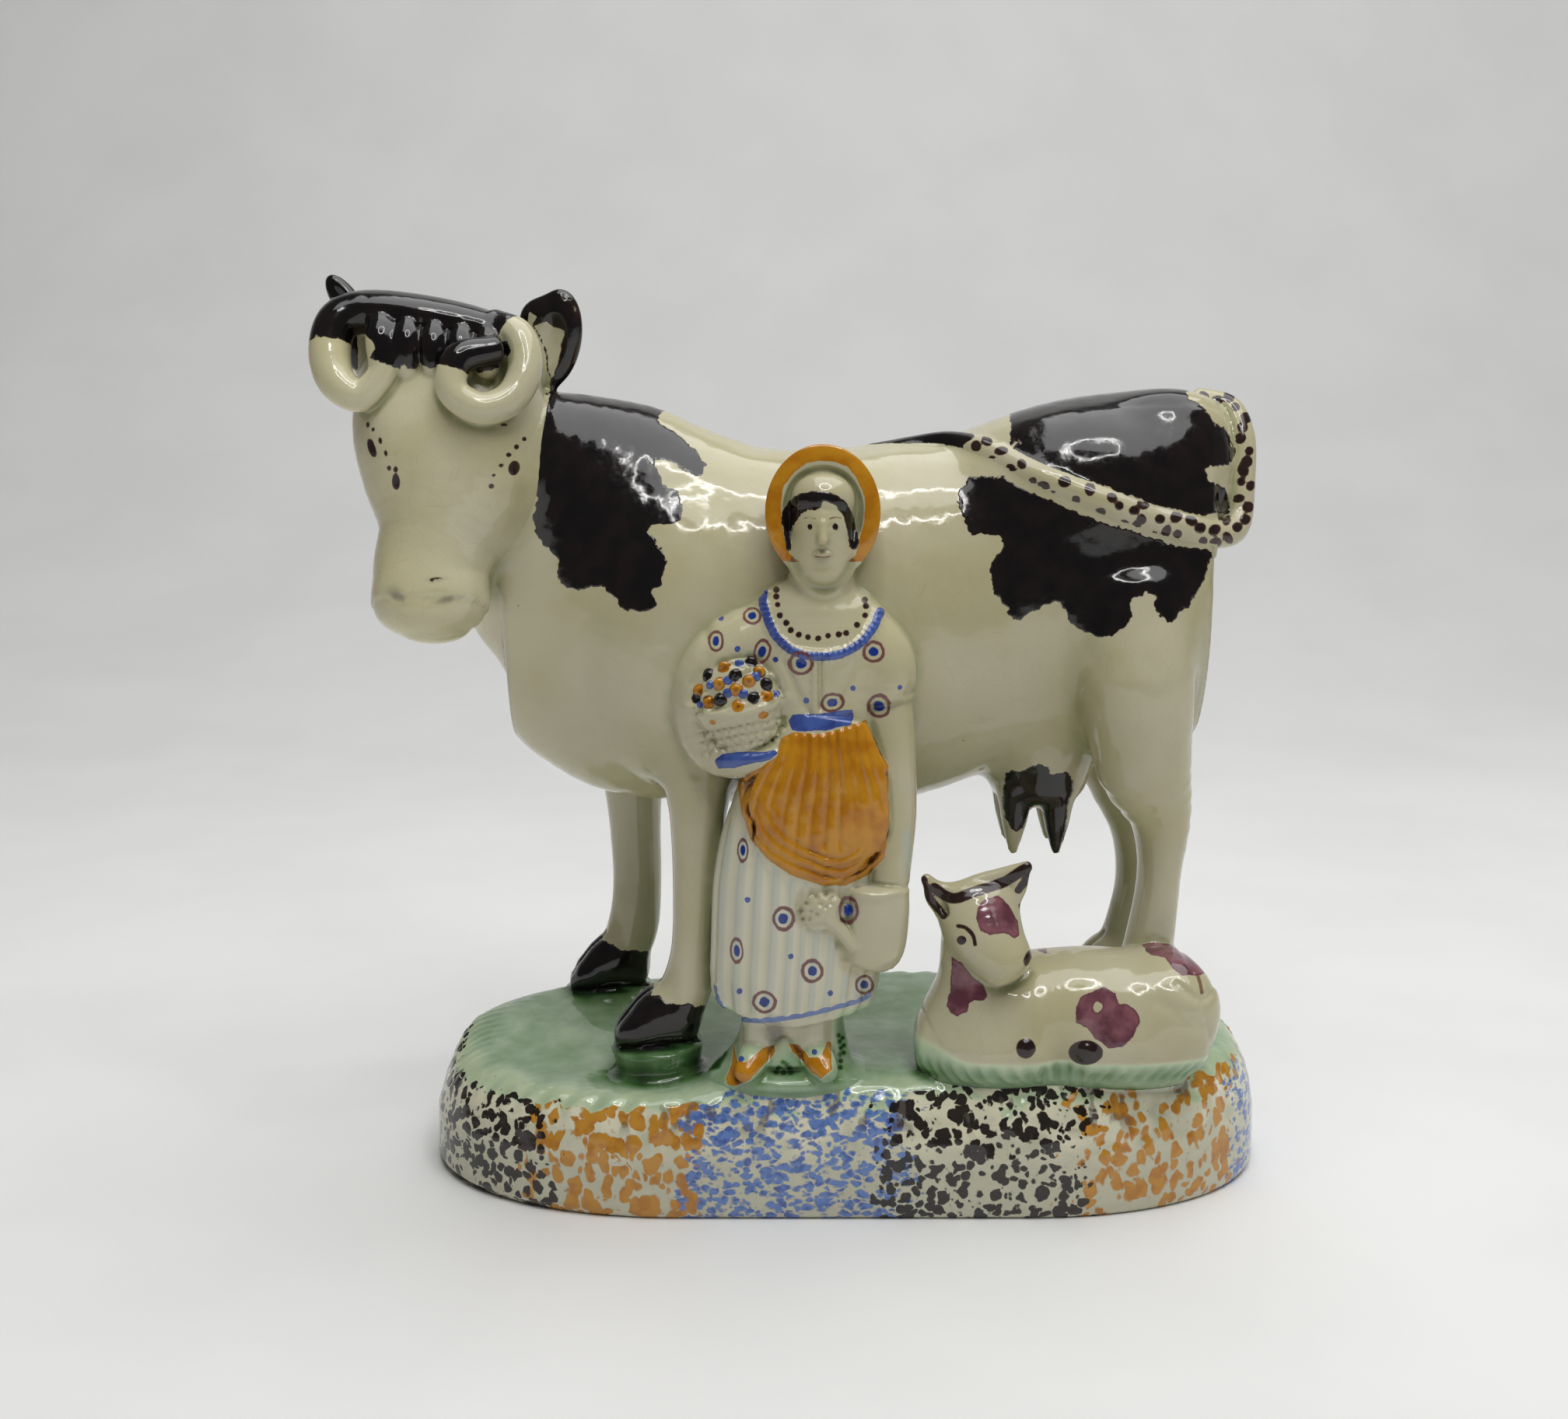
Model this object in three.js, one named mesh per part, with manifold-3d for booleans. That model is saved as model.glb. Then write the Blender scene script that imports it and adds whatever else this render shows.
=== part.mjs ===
// A pearlware cow group: cow, milkmaid and lying calf on an oblong base, fired as one piece.
// Millimetres, +Z up, +X to the cow's rump, -Y to the side that carries the milkmaid and the calf.
// The origin is the middle of the underside.

import * as THREE from 'three';
import { mergeVertices } from 'three/addons/utils/BufferGeometryUtils.js';
import Module from 'manifold-3d';

const wasm = await Module();
wasm.setup();

// Driving sizes
const BASE_LENGTH = 130;
const BASE_WIDTH = 58;
const BASE_HEIGHT = 21;
const BASE_END_LENGTH = 39;
const BASE_END_EXPONENT = 2.09;
const BASE_RIBS = 26;
const BASE_RIB_DEPTH = 0.6;
const NEAR_LEG_Y = -15;
const FAR_LEG_Y = 13;
const PAD_TOP = 23.2;
const TAIL_RADIUS = 2.1;
const HORN_RADIUS = 2.5;
const SKIRT_FLUTES = 11;
const SKIRT_FLUTE_DEPTH = 0.45;
const HAIR_LOBES = 5;
const TEAT_LENGTH = 9.5;
const CALF_BODY_Y = -17.5;
const MAID_Y = -20.5;
const START_ANGLE = 0.23;

const X_AXIS = new THREE.Vector3(1, 0, 0);
const Y_AXIS = new THREE.Vector3(0, 1, 0);
const Z_AXIS = new THREE.Vector3(0, 0, 1);

// Closed bodies

function solidOf(source) {
  const geometry = source.clone();
  geometry.deleteAttribute('normal');
  geometry.deleteAttribute('uv');
  const merged = mergeVertices(geometry, 1e-4);
  const points = merged.getAttribute('position').array;
  const corners = Array.from(merged.index.array);
  const triangles = [];
  let volume = 0;
  const at = (i) => new THREE.Vector3(points[3 * i], points[3 * i + 1], points[3 * i + 2]);
  for (let i = 0; i < corners.length; i += 3) {
    const [a, b, c] = corners.slice(i, i + 3);
    if (a === b || b === c || a === c) continue;
    triangles.push(a, b, c);
    volume += at(a).dot(at(b).cross(at(c)));
  }
  if (volume < 0) triangles.reverse();
  return new wasm.Manifold(new wasm.Mesh({
    numProp: 3,
    vertProperties: Float32Array.from(points),
    triVerts: Uint32Array.from(triangles),
  }));
}

function geometryOf(solid) {
  const mesh = solid.getMesh();
  const geometry = new THREE.BufferGeometry();
  geometry.setAttribute('position', new THREE.BufferAttribute(mesh.vertProperties, 3));
  geometry.setIndex(new THREE.BufferAttribute(mesh.triVerts, 1));
  geometry.computeVertexNormals();
  return geometry;
}

function join(solids) {
  return solids.reduce((whole, next) => whole.add(next));
}

// Each ring is a function of the angle round the spine that gives a point, and the two poles close it.
function loft(rings, poles, around) {
  const sphere = new THREE.SphereGeometry(1, around, rings.length + 1);
  const position = sphere.getAttribute('position');
  const row = around + 1;
  for (let i = 0; i <= around; i += 1) {
    const angle = (2 * Math.PI * (i % around)) / around;
    position.setXYZ(i, ...poles[0]);
    position.setXYZ((rings.length + 1) * row + i, ...poles[1]);
    rings.forEach((ring, j) => position.setXYZ((j + 1) * row + i, ...ring(angle)));
  }
  return solidOf(sphere);
}

function power(value, exponent) {
  return Math.sign(value) * Math.abs(value) ** exponent;
}

// A body along a smooth spine. Each station is a point and two half-widths: across `side`, and square to it.
// `square` above 2 makes the section boxier, and `domes` rounds the two ends by a share of their half-width.
function limb(stations, { side = X_AXIS, around = 10, steps = 7, square = 2, domes = [0.6, 0.6],
  upright = null, flutes = 0, depth = 0 } = {}) {
  const spine = new THREE.CatmullRomCurve3(stations.map((s) => new THREE.Vector3(...s[0])));
  const widths = new THREE.CatmullRomCurve3(stations.map((s) => new THREE.Vector3(s[1], s[2], 0)));
  const tangentAt = (t) => (upright ? upright.clone() : spine.getTangent(t));
  const ringAt = (t, shift, scale) => {
    const tangent = tangentAt(t);
    const a = side.clone().addScaledVector(tangent, -side.dot(tangent)).normalize();
    const b = tangent.clone().cross(a);
    const centre = spine.getPoint(t).addScaledVector(tangent, shift);
    const width = widths.getPoint(t);
    return (angle) => {
      const wave = flutes ? 1 + (depth * Math.cos(flutes * angle)) / width.x : 1;
      const turn = angle + START_ANGLE;
      return centre.clone()
        .addScaledVector(a, power(Math.cos(turn), 2 / square) * width.x * scale * wave)
        .addScaledVector(b, power(Math.sin(turn), 2 / square) * width.y * scale * wave)
        .toArray();
    };
  };
  const reach = [0, 1].map((t) => domes[t] * Math.min(widths.getPoint(t).x, widths.getPoint(t).y));
  const rings = [];
  if (reach[0] > 0) rings.push(ringAt(0, -reach[0] * Math.SQRT1_2, Math.SQRT1_2));
  for (let i = 0; i <= steps; i += 1) rings.push(ringAt(i / steps, 0, 1));
  if (reach[1] > 0) rings.push(ringAt(1, reach[1] * Math.SQRT1_2, Math.SQRT1_2));
  const poles = [0, 1].map((t) => (
    spine.getPoint(t).addScaledVector(tangentAt(t), (t ? 1 : -1) * reach[t]).toArray()
  ));
  return loft(rings, poles, around);
}

// An egg shape at a point, with three half-sizes and turns in degrees about X, Y and Z.
function egg(at, size, turns = [0, 0, 0], around = 14, rows = 8) {
  const geometry = new THREE.SphereGeometry(1, around, rows);
  geometry.rotateX(Math.PI / 2);
  geometry.rotateZ(START_ANGLE);
  geometry.scale(...size);
  const [x, y, z] = turns.map(THREE.MathUtils.degToRad);
  geometry.applyMatrix4(new THREE.Matrix4().makeRotationFromEuler(new THREE.Euler(x, y, z)));
  geometry.translate(...at);
  return solidOf(geometry);
}

// The base: an oblong with round ends, a soft foot, a wall that leans in and a rounded rim with ribs.

function basePoint(angle, inset, z) {
  const c = Math.cos(angle);
  const s = Math.sin(angle);
  const straight = BASE_LENGTH / 2 - BASE_END_LENGTH;
  const bend = 2 / BASE_END_EXPONENT;
  const lean = inset * (1 + 0.5 * Math.max(0, -c));
  return [
    Math.sign(c) * straight + power(c, bend) * (BASE_END_LENGTH - lean),
    power(s, bend) * (BASE_WIDTH / 2 - inset),
    z,
  ];
}

function base() {
  const around = 2 * BASE_RIBS;
  const half = Math.PI / around;
  const wall = [[0, 0.7], [1.4, 0], [9, 0.1], [15.5, 1.4], [19.4, 3.5], [BASE_HEIGHT, 6.6]];
  const rings = wall.map(([z, inset]) => (angle) => {
    const high = THREE.MathUtils.smoothstep(z, 10, 19);
    const rib = BASE_RIB_DEPTH * high * Math.cos(BASE_RIBS * angle);
    return basePoint(angle + half, inset + rib, z);
  });
  return loft(rings, [[0, 0, 0], [0, 0, BASE_HEIGHT + 0.2]], around);
}

// The cow's trunk, neck and head

function trunk() {
  // x, top of the back, underside, half-width
  const sections = [
    [-51.5, 98, 80, 7],
    [-48, 110, 70.5, 12],
    [-42, 117.5, 62.4, 15.6],
    [-34, 116.6, 58.4, 18],
    [-22, 113.2, 57.4, 19.4],
    [-8, 111.5, 57, 19.8],
    [6, 112.6, 57.6, 19.6],
    [18, 113.6, 61.5, 19],
    [28, 117, 64, 18.8],
    [40, 119.8, 65, 18.4],
    [47, 120, 66, 16.8],
    [52, 119.4, 68, 13.6],
    [55, 116, 73, 8.6],
  ];
  const stations = sections.map(([x, top, bottom, half]) => (
    [[x, 0, (top + bottom) / 2], half, (top - bottom) / 2]
  ));
  return limb(stations, {
    side: Y_AXIS, upright: X_AXIS, around: 18, steps: 12, square: 2.25, domes: [0.3, 0.12],
  });
}

function neck() {
  return limb([
    [[-28, 0, 92], 14.6, 21.6],
    [[-38, -1, 97], 13.6, 22.4],
    [[-47, -5, 103.4], 12.5, 18.6],
    [[-54.5, -9.5, 110], 11, 12.6],
  ], { side: Y_AXIS, around: 14, steps: 4 });
}

function head() {
  return limb([
    [[-58.4, -9, 130.5], 9, 6.5],
    [[-58.4, -11, 122.5], 13, 10],
    [[-58.3, -13, 115], 14, 11.6],
    [[-57.8, -14.6, 108.5], 13, 11],
    [[-59.2, -16.8, 101], 8.9, 8.8],
    [[-60.6, -18.4, 95.5], 8.1, 7.8],
    [[-60.8, -19.6, 91], 7.6, 7.4],
    [[-60.8, -20.4, 88], 5.9, 6],
  ], { around: 14, steps: 10, domes: [0.4, 0.5] });
}

// Each horn leaves an end of the crest, turns down and curls back on itself into a ring.
function horns() {
  const r = HORN_RADIUS;
  const left = [
    [[-69.2, -16.5, 132.6], r, r],
    [[-73, -17.5, 131.2], r * 1.12, r * 1.1],
    [[-74.6, -19, 126.6], r * 1.16, r * 1.12],
    [[-72.9, -21, 121.8], r, r],
    [[-69.6, -21.5, 120], r * 0.9, r * 0.9],
    [[-66.4, -21.5, 122.6], r * 0.8, r * 0.8],
    [[-65.2, -21, 126.4], r * 0.72, r * 0.72],
    [[-66.6, -18.8, 131], r * 0.72, r * 0.72],
  ];
  const right = [
    [[-51, -17, 131.4], r * 0.9, r * 0.9],
    [[-47.4, -19, 129.4], r, r],
    [[-46, -21.4, 124.4], r, r],
    [[-48, -23.6, 119.6], r * 0.95, r * 0.95],
    [[-52, -25.1, 118.2], r * 0.9, r * 0.9],
    [[-55.9, -25.5, 121], r * 0.82, r * 0.82],
    [[-55, -24.4, 125.2], r * 0.74, r * 0.74],
    [[-49.8, -22.2, 126.7], r * 0.56, r * 0.56],
  ];
  return [left, right].map((stations) => limb(stations, { side: Y_AXIS, around: 7, steps: 14 }));
}

function crest() {
  const bar = limb([
    [[-72, -16.2, 132.4], 3, 1.8],
    [[-65, -16, 132.3], 4.2, 2],
    [[-57, -16.4, 131.4], 4.2, 2],
    [[-49, -17, 129.8], 3.2, 1.9],
  ], { side: Y_AXIS, around: 7, steps: 3 });
  const lobes = [];
  for (let i = 0; i < HAIR_LOBES; i += 1) {
    const x = -65.4 + i * 3.3;
    const z = 131 - i * 0.35;
    lobes.push(limb([
      [[x, -19, z], 1.8, 1.8],
      [[x + 0.4, -21.2, z - 3.6], 1.8, 1.6],
      [[x + 0.6, -21.6, z - 6.6], 1.4, 1.1],
    ], { around: 6, steps: 2, domes: [0, 0.8] }));
  }
  return [bar, ...lobes];
}

function ears() {
  const left = egg([-73, -11, 133.6], [2, 1.8, 4.6], [0, -34, 0], 7, 5);
  const right = egg([-42.6, -10, 127.8], [2.9, 2.1, 7], [8, 10, -20], 9, 6);
  const hollow = egg([-42.9, -13, 127.4], [1.7, 1.7, 4.8], [8, 10, -20], 7, 5);
  const roots = [[[-50, -9, 127.6], [-44, -10, 127.6]], [[-65, -10, 128], [-71.4, -11, 131.4]]];
  const necks = roots.map(([foot, tip]) => limb([[foot, 3, 3], [tip, 2.2, 2.2]],
    { side: Y_AXIS, around: 6, steps: 1, domes: [0, 0.4] }));
  return [left, right.subtract(hollow), ...necks];
}

// Legs, hooves and the pads they stand on

function leg(stations, y) {
  return limb(stations.map(([x, dy, z, a, b]) => [[x, y + dy, z], a, b]), { around: 8, steps: 6, domes: [0.3, 0] });
}

function hoof(x, y) {
  return limb([
    [[x + 5, y, 27], 3.6, 3.6],
    [[x + 1.2, y, 27.2], 5.2, 4.5],
    [[x - 3, y, 25.4], 5, 3],
    [[x - 6.2, y, 23.8], 3, 1.4],
  ], { side: Y_AXIS, upright: X_AXIS.clone().negate(), around: 7, steps: 3, square: 2.4, domes: [0.2, 0.5] });
}

function pad(x, y) {
  return limb([
    [[x, y, BASE_HEIGHT - 3], 5.8, 4.8],
    [[x, y, PAD_TOP + 0.4], 7.4, 6],
  ], { around: 10, steps: 1, domes: [0, 0] });
}

function legs() {
  const nearFront = leg([
    [-22, 2.5, 78, 8.6, 6.5],
    [-22.4, 1, 68, 6.2, 6],
    [-22.5, 0, 58, 4.3, 5.2],
    [-22.9, 0, 48, 3.5, 4.4],
    [-23.4, 0, 39, 3.2, 4.2],
    [-24, 0, 33, 3.8, 4.4],
    [-26, 0, 28, 4.2, 4.6],
  ], NEAR_LEG_Y);
  const farFront = leg([
    [-33.4, -2.5, 72, 7.4, 6.5],
    [-34.2, -1, 61, 5.2, 5.5],
    [-34, 0, 50, 4.2, 4.8],
    [-33.8, 0, 40, 4, 4.4],
    [-34.6, 0, 33, 4.2, 4.4],
    [-36.6, 0, 28, 4.2, 4.6],
  ], FAR_LEG_Y);
  const nearHind = leg([
    [43, 2.4, 90, 9.6, 8],
    [43, -1.6, 77, 8.6, 7.6],
    [43.8, 1, 66, 7.2, 6.6],
    [47.2, 4, 57, 4.6, 5],
    [47.4, 5, 47, 3.3, 4.2],
    [46.4, 5, 38, 3.7, 4.2],
    [44.6, 4.5, 28, 4.4, 4.6],
  ], NEAR_LEG_Y);
  const farHind = leg([
    [43, -3, 84, 9, 7],
    [43, -1, 71, 8, 6.6],
    [44.6, -0.6, 60, 6, 5.8],
    [48, -0.5, 50, 4.4, 4.8],
    [48, 0, 41, 3.9, 4.4],
    [46.2, 0, 34, 4.2, 4.4],
    [43.6, 0, 27, 4.4, 4.6],
  ], FAR_LEG_Y);
  const feet = [
    [-28.6, NEAR_LEG_Y],
    [-38.2, FAR_LEG_Y],
    [42, NEAR_LEG_Y + 5],
    [41.4, FAR_LEG_Y],
  ];
  const hooves = feet.map(([x, y]) => hoof(x, y));
  const pads = feet.map(([x, y]) => pad(x - 0.4, y));
  return [nearFront, farFront, nearHind, farHind, ...hooves, ...pads];
}

function udder() {
  const bag = limb([
    [[29.5, 0, 70], 11, 11],
    [[29.8, 0, 63], 8.2, 9.5],
    [[30, 0, 58.6], 6.2, 8],
  ], { around: 10, steps: 2, domes: [0, 0.25] });
  const teats = [];
  for (const [x, tip] of [[25.9, 25.7], [32.4, 32.3]]) {
    for (const y of [-5, 5]) {
      teats.push(limb([
        [[x, y, 59.5], 2.8, 2.8],
        [[(x + tip) / 2, y, 59.5 - TEAT_LENGTH / 2], 2, 2],
        [[tip, y, 59.5 - TEAT_LENGTH], 0.8, 0.8],
      ], { around: 6, steps: 2, domes: [0, 0.6] }));
    }
  }
  return [bag, ...teats];
}

// The tail runs down the rump's rear edge, turns sharply and comes forward over the haunch to the spine.
function tail() {
  const r = TAIL_RADIUS;
  return [limb([
    [[53, 0, 118.8], r, r],
    [[57, -2, 117.8], r, r],
    [[58.6, -4.5, 114], r, r],
    [[58.4, -7, 106.4], r, r],
    [[57.6, -9, 101.2], r, r],
    [[55.2, -12.4, 99.8], r, r],
    [[49, -15.8, 100.8], r, r],
    [[42.6, -17.3, 102.6], r, r],
    [[35, -17.7, 105.4], r, r],
    [[27, -15.4, 108.4], r, r],
    [[21.2, -10.6, 111.4], r, r],
    [[15, -3.6, 113.4], r * 0.9, r],
    [[9, -1.5, 112.8], r * 0.8, r],
    [[3.4, -0.6, 112.2], r * 0.4, r * 0.5],
  ], { side: Z_AXIS, around: 6, steps: 20, domes: [0, 0.6] })];
}

// The milkmaid

function maid() {
  const y = MAID_Y;
  const skirt = limb([
    [[-7.6, y, 31.4], 10.4, 6.6],
    [[-7.2, y, 38], 11.6, 7.6],
    [[-6.8, y, 48], 11.8, 7.7],
    [[-6, y, 58], 11, 7.4],
    [[-4.8, y, 68], 9.6, 6.9],
  ], { around: 2 * SKIRT_FLUTES, steps: 4, square: 2.3, domes: [0, 0],
    flutes: SKIRT_FLUTES, depth: SKIRT_FLUTE_DEPTH });
  const bodice = limb([
    [[-4.6, y, 66], 9, 6.6],
    [[-4.8, y, 74], 9, 6.6],
    [[-5, y, 82], 11, 7],
    [[-5, y + 0.3, 87.6], 9.6, 5.8],
    [[-4.6, y + 0.5, 91.4], 5.6, 4.6],
    [[-4.3, y + 0.2, 96], 3.8, 3.9],
  ], { around: 12, steps: 6, domes: [0, 0] });
  const basketArm = limb([
    [[-9, y + 1, 87], 5, 4.6],
    [[-18.4, y + 1, 82.4], 5.8, 5],
    [[-21.2, y + 0.4, 75.4], 5.2, 4.8],
    [[-19.4, y - 1.4, 69.8], 4.4, 4],
    [[-13.6, y - 4.4, 68.8], 3, 2.6],
    [[-8.6, y - 5.4, 70.4], 2.2, 2],
  ], { side: Y_AXIS, around: 8, steps: 8, domes: [0, 0.6] });
  const sleeve = limb([
    [[-1, y + 0.6, 87.6], 5, 4.6],
    [[4, y, 82], 5.2, 5.2],
    [[4.6, y - 0.4, 77.4], 4.7, 5],
  ], { around: 9, steps: 3, domes: [0, 0.1] });
  const canArm = limb([
    [[4.6, y, 79], 4, 4.4],
    [[5.4, y - 0.6, 70], 4, 4.2],
    [[5.6, y - 1.6, 60], 3.9, 3.8],
    [[5, y - 3, 51.6], 3, 3],
  ], { around: 8, steps: 4, domes: [0, 0.6] });
  const face = egg([-4.3, y - 1.6, 101.2], [4.7, 4.8, 6.2], [0, 0, 0], 10, 6);
  const chin = egg([-4.3, y - 2.2, 94.4], [3.9, 3.4, 2.4], [0, 0, 0], 8, 4);
  const nose = egg([-4.3, y - 6.2, 100.6], [0.7, 0.9, 1.4], [0, 0, 0], 5, 3);
  const brim = limb([
    [[-4.2, y + 1.2, 104.6], 8, 8.6],
    [[-4.2, y - 2, 104.6], 7.7, 8.3],
  ], { side: X_AXIS, around: 18, steps: 1, domes: [0, 0] });
  const dish = egg([-4.2, y - 4.6, 104.2], [6.3, 3, 7], [0, 0, 0], 12, 5);
  const crown = egg([-4.2, y + 1.4, 104.4], [6.9, 6, 7.6], [0, 0, 0], 10, 5);
  const cap = egg([-4.2, y - 1, 106.4], [5.5, 4.4, 4.6], [0, 0, 0], 10, 5);
  return [skirt, bodice, basketArm, sleeve, canArm, crown, brim.subtract(dish), face, chin, nose, cap];
}

function basket() {
  const y = MAID_Y;
  const bowl = limb([
    [[-14.4, y - 4, 71], 4.4, 3.2],
    [[-15.4, y - 4, 74], 6, 3.9],
    [[-16, y - 4, 77], 6.8, 4.3],
  ], { around: 11, steps: 2, domes: [0.2, 0] });
  const heap = egg([-15.6, y - 3.8, 78.2], [5.7, 3.8, 5.2], [0, 0, 0], 10, 5);
  const flowers = [];
  for (let row = 0; row < 3; row += 1) {
    for (let i = 0; i < 4 - row; i += 1) {
      const x = -19.4 + row * 1.3 + i * 2.6;
      flowers.push(egg([x, y - 6.7 + 0.6 * row, 77.8 + row * 1.9], [1.1, 1.2, 1.1], [0, 0, 0], 4, 3));
    }
  }
  return [bowl, heap, ...flowers];
}

function apron() {
  const y = MAID_Y;
  return [limb([
    [[-4, y - 5.4, 73.6], 5.6, 2],
    [[-5, y - 6.2, 67], 9, 2.2],
    [[-5, y - 6.4, 60], 9.9, 2.4],
    [[-4.6, y - 6.4, 54.6], 7.8, 2],
    [[-3.4, y - 6.2, 51.4], 4.2, 1.5],
  ], { around: 14, steps: 5, flutes: 7, depth: 0.3, domes: [0, 0.4] })];
}

function wateringCan() {
  const y = MAID_Y - 5;
  const body = limb([
    [[4, y, 38.6], 3.6, 3],
    [[4.4, y, 43], 3.9, 3.2],
    [[4.6, y, 49.4], 3.6, 3],
  ], { around: 10, steps: 2, domes: [0.2, 0.1] });
  const spout = limb([
    [[1.8, y - 0.4, 40.8], 1.5, 1.5],
    [[-0.6, y - 1, 43.4], 1.3, 1.3],
    [[-3.9, y - 1.6, 45.4], 1.4, 1.4],
  ], { side: Y_AXIS, around: 6, steps: 3, domes: [0, 0] });
  const rose = egg([-5.5, y - 2, 46.9], [2.4, 1.3, 2.4], [0, 0, 0], 8, 4);
  return [body, spout, rose];
}

// The feet stand on a mound, and clay between and behind them carries the skirt.
function maidFeet() {
  const y = MAID_Y;
  const feet = [];
  for (const [x, turn] of [[-13.2, -1.6], [-5.6, 1.6]]) {
    feet.push(limb([[[x, y - 1.6, 33], 2.6, 2.8], [[x, y - 2, 23], 2.3, 2.6]],
      { around: 7, steps: 1, domes: [0, 0] }));
    feet.push(limb([
      [[x, y - 1.4, 23.6], 2.4, 3],
      [[x + turn * 0.7, y - 4.6, 23], 2.3, 2.2],
      [[x + turn * 1.5, y - 7, 21.8], 1.4, 1.3],
    ], { around: 7, steps: 2 }));
  }
  const prop = limb([
    [[-8.4, y + 0.6, 19], 12, 6],
    [[-8, y + 0.8, 25], 8.6, 4.6],
    [[-7.6, y + 0.6, 33], 7.6, 4.6],
  ], { around: 10, steps: 2, domes: [0, 0] });
  const mound = egg([-9, y - 0.2, 20.4], [12.6, 7.6, 2.8], [0, 0, 0], 14, 4);
  return [...feet, prop, mound];
}

// The calf lies with its head raised and turned to the viewer, on a low mound.

function calf() {
  const y = CALF_BODY_Y;
  const body = limb([
    [[13.5, y, 25.4], 7.4, 6.5],
    [[20, y, 28], 9.4, 9],
    [[28, y, 28.6], 10, 9],
    [[38, y, 28.8], 10.2, 9.2],
    [[47, y, 28.8], 10.4, 9.2],
    [[52, y, 27.4], 8.4, 7.8],
  ], { side: Y_AXIS, around: 12, steps: 6, domes: [0.6, 0.35] });
  const neckOf = limb([
    [[17, y - 1, 27], 6.4, 6],
    [[18, y - 2.4, 35], 5.8, 5.6],
    [[18.6, y - 3.4, 43], 5.4, 5],
  ], { around: 10, steps: 2 });
  const headOf = limb([
    [[18.4, y - 2.4, 48.2], 6.2, 3.6],
    [[18.8, y - 4, 45], 6, 4.6],
    [[20.4, y - 6, 40], 5, 4.6],
    [[22.8, y - 8, 36.8], 3.8, 3.6],
  ], { around: 10, steps: 5, domes: [0.3, 0.6] });
  const earTips = [[[14.4, y - 4, 47], [11.4, y - 4.4, 49.8]], [[22.4, y - 4, 48.2], [25.4, y - 4.6, 51.2]]];
  const ears = earTips.map(([foot, tip]) => limb([[foot, 2.4, 1.4], [tip, 0.9, 0.9]],
    { side: Z_AXIS, around: 6, steps: 1 }));
  const forelegs = limb([
    [[13, y - 2, 23], 5.6, 3.6],
    [[19, y - 6, 23.2], 5, 4],
    [[26, y - 8.2, 24], 2.8, 2.4],
  ], { side: Y_AXIS, around: 7, steps: 3 });
  const hindleg = limb([
    [[50, y - 3, 25], 6, 5],
    [[43, y - 5.6, 24.6], 5, 4.6],
    [[34.8, y - 8.4, 24], 2.8, 2.2],
  ], { side: Y_AXIS, around: 7, steps: 3 });
  const mound = limb([
    [[12, y - 0.4, 20.4], 8.6, 1.8],
    [[22, y - 0.8, 20.6], 10.8, 2.2],
    [[40, y - 0.8, 20.6], 11, 2.2],
    [[51.6, y - 0.4, 20.4], 8.6, 1.8],
  ], { side: Y_AXIS, around: 12, steps: 4, domes: [0.6, 0.6] });
  return [body, neckOf, headOf, ...ears, forelegs, hindleg, mound];
}

const whole = join([
  base(), trunk(), neck(), head(), ...horns(), ...crest(), ...ears(), ...legs(), ...udder(), ...tail(),
  ...maid(), ...basket(), ...apron(), ...wateringCan(), ...maidFeet(), ...calf(),
]);

const glazed = new THREE.MeshStandardMaterial({ color: 0xded8bc, roughness: 0.18, metalness: 0 });
const cowGroup = new THREE.Mesh(geometryOf(whole), glazed);
cowGroup.name = 'cow_group';

const group = new THREE.Group();
group.add(cowGroup);

export default group;
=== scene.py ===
# A pearlware cow group: cow, milkmaid and lying calf on an oblong sponged base, fired as one piece.
# Forms are given in millimetres in the frame of the CAD; the meshes are written in metres.

import math

import bpy
import numpy as np
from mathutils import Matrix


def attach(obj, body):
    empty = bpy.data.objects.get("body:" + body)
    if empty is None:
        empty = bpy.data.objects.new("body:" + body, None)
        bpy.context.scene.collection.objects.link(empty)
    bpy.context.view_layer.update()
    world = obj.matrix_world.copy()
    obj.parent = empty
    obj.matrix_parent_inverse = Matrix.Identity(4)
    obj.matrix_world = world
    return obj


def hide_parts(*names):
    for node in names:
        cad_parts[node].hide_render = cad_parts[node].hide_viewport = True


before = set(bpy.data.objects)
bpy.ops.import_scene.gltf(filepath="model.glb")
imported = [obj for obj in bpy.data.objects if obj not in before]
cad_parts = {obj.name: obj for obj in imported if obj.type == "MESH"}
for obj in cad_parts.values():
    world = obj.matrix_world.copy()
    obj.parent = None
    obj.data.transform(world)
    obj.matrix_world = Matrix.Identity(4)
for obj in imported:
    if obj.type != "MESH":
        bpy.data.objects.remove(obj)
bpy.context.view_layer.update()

MM = 0.001
FAR = 40.0
PHOTO_WIDTH, PHOTO_HEIGHT = 2016, 1825
FOCAL_PX = 2600.0
SENSOR = 36.0
EYE = np.array([-9.7, -309.7, 124.6])
TILT = math.radians(9.74)


# Camera

camera = bpy.data.objects.new("camera", bpy.data.cameras.new("camera"))
camera.location = EYE * MM
camera.rotation_euler = (math.pi / 2 - TILT, 0, 0)
camera.data.lens = FOCAL_PX * SENSOR / PHOTO_WIDTH
camera.data.sensor_width = SENSOR
camera.data.clip_start, camera.data.clip_end = 0.01, 20
bpy.context.scene.collection.objects.link(camera)
bpy.context.scene.camera = camera


def look(x, y, z):
    """Where points are in the photograph, in its pixels, and the millimetres that a pixel covers there."""
    away_x, away_y, away_z = x - EYE[0], y - EYE[1], z - EYE[2]
    depth = away_y * math.cos(TILT) - away_z * math.sin(TILT)
    up = away_z * math.cos(TILT) + away_y * math.sin(TILT)
    u = PHOTO_WIDTH / 2 + FOCAL_PX * away_x / depth
    return u, PHOTO_HEIGHT / 2 - FOCAL_PX * up / depth, depth / FOCAL_PX


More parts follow.
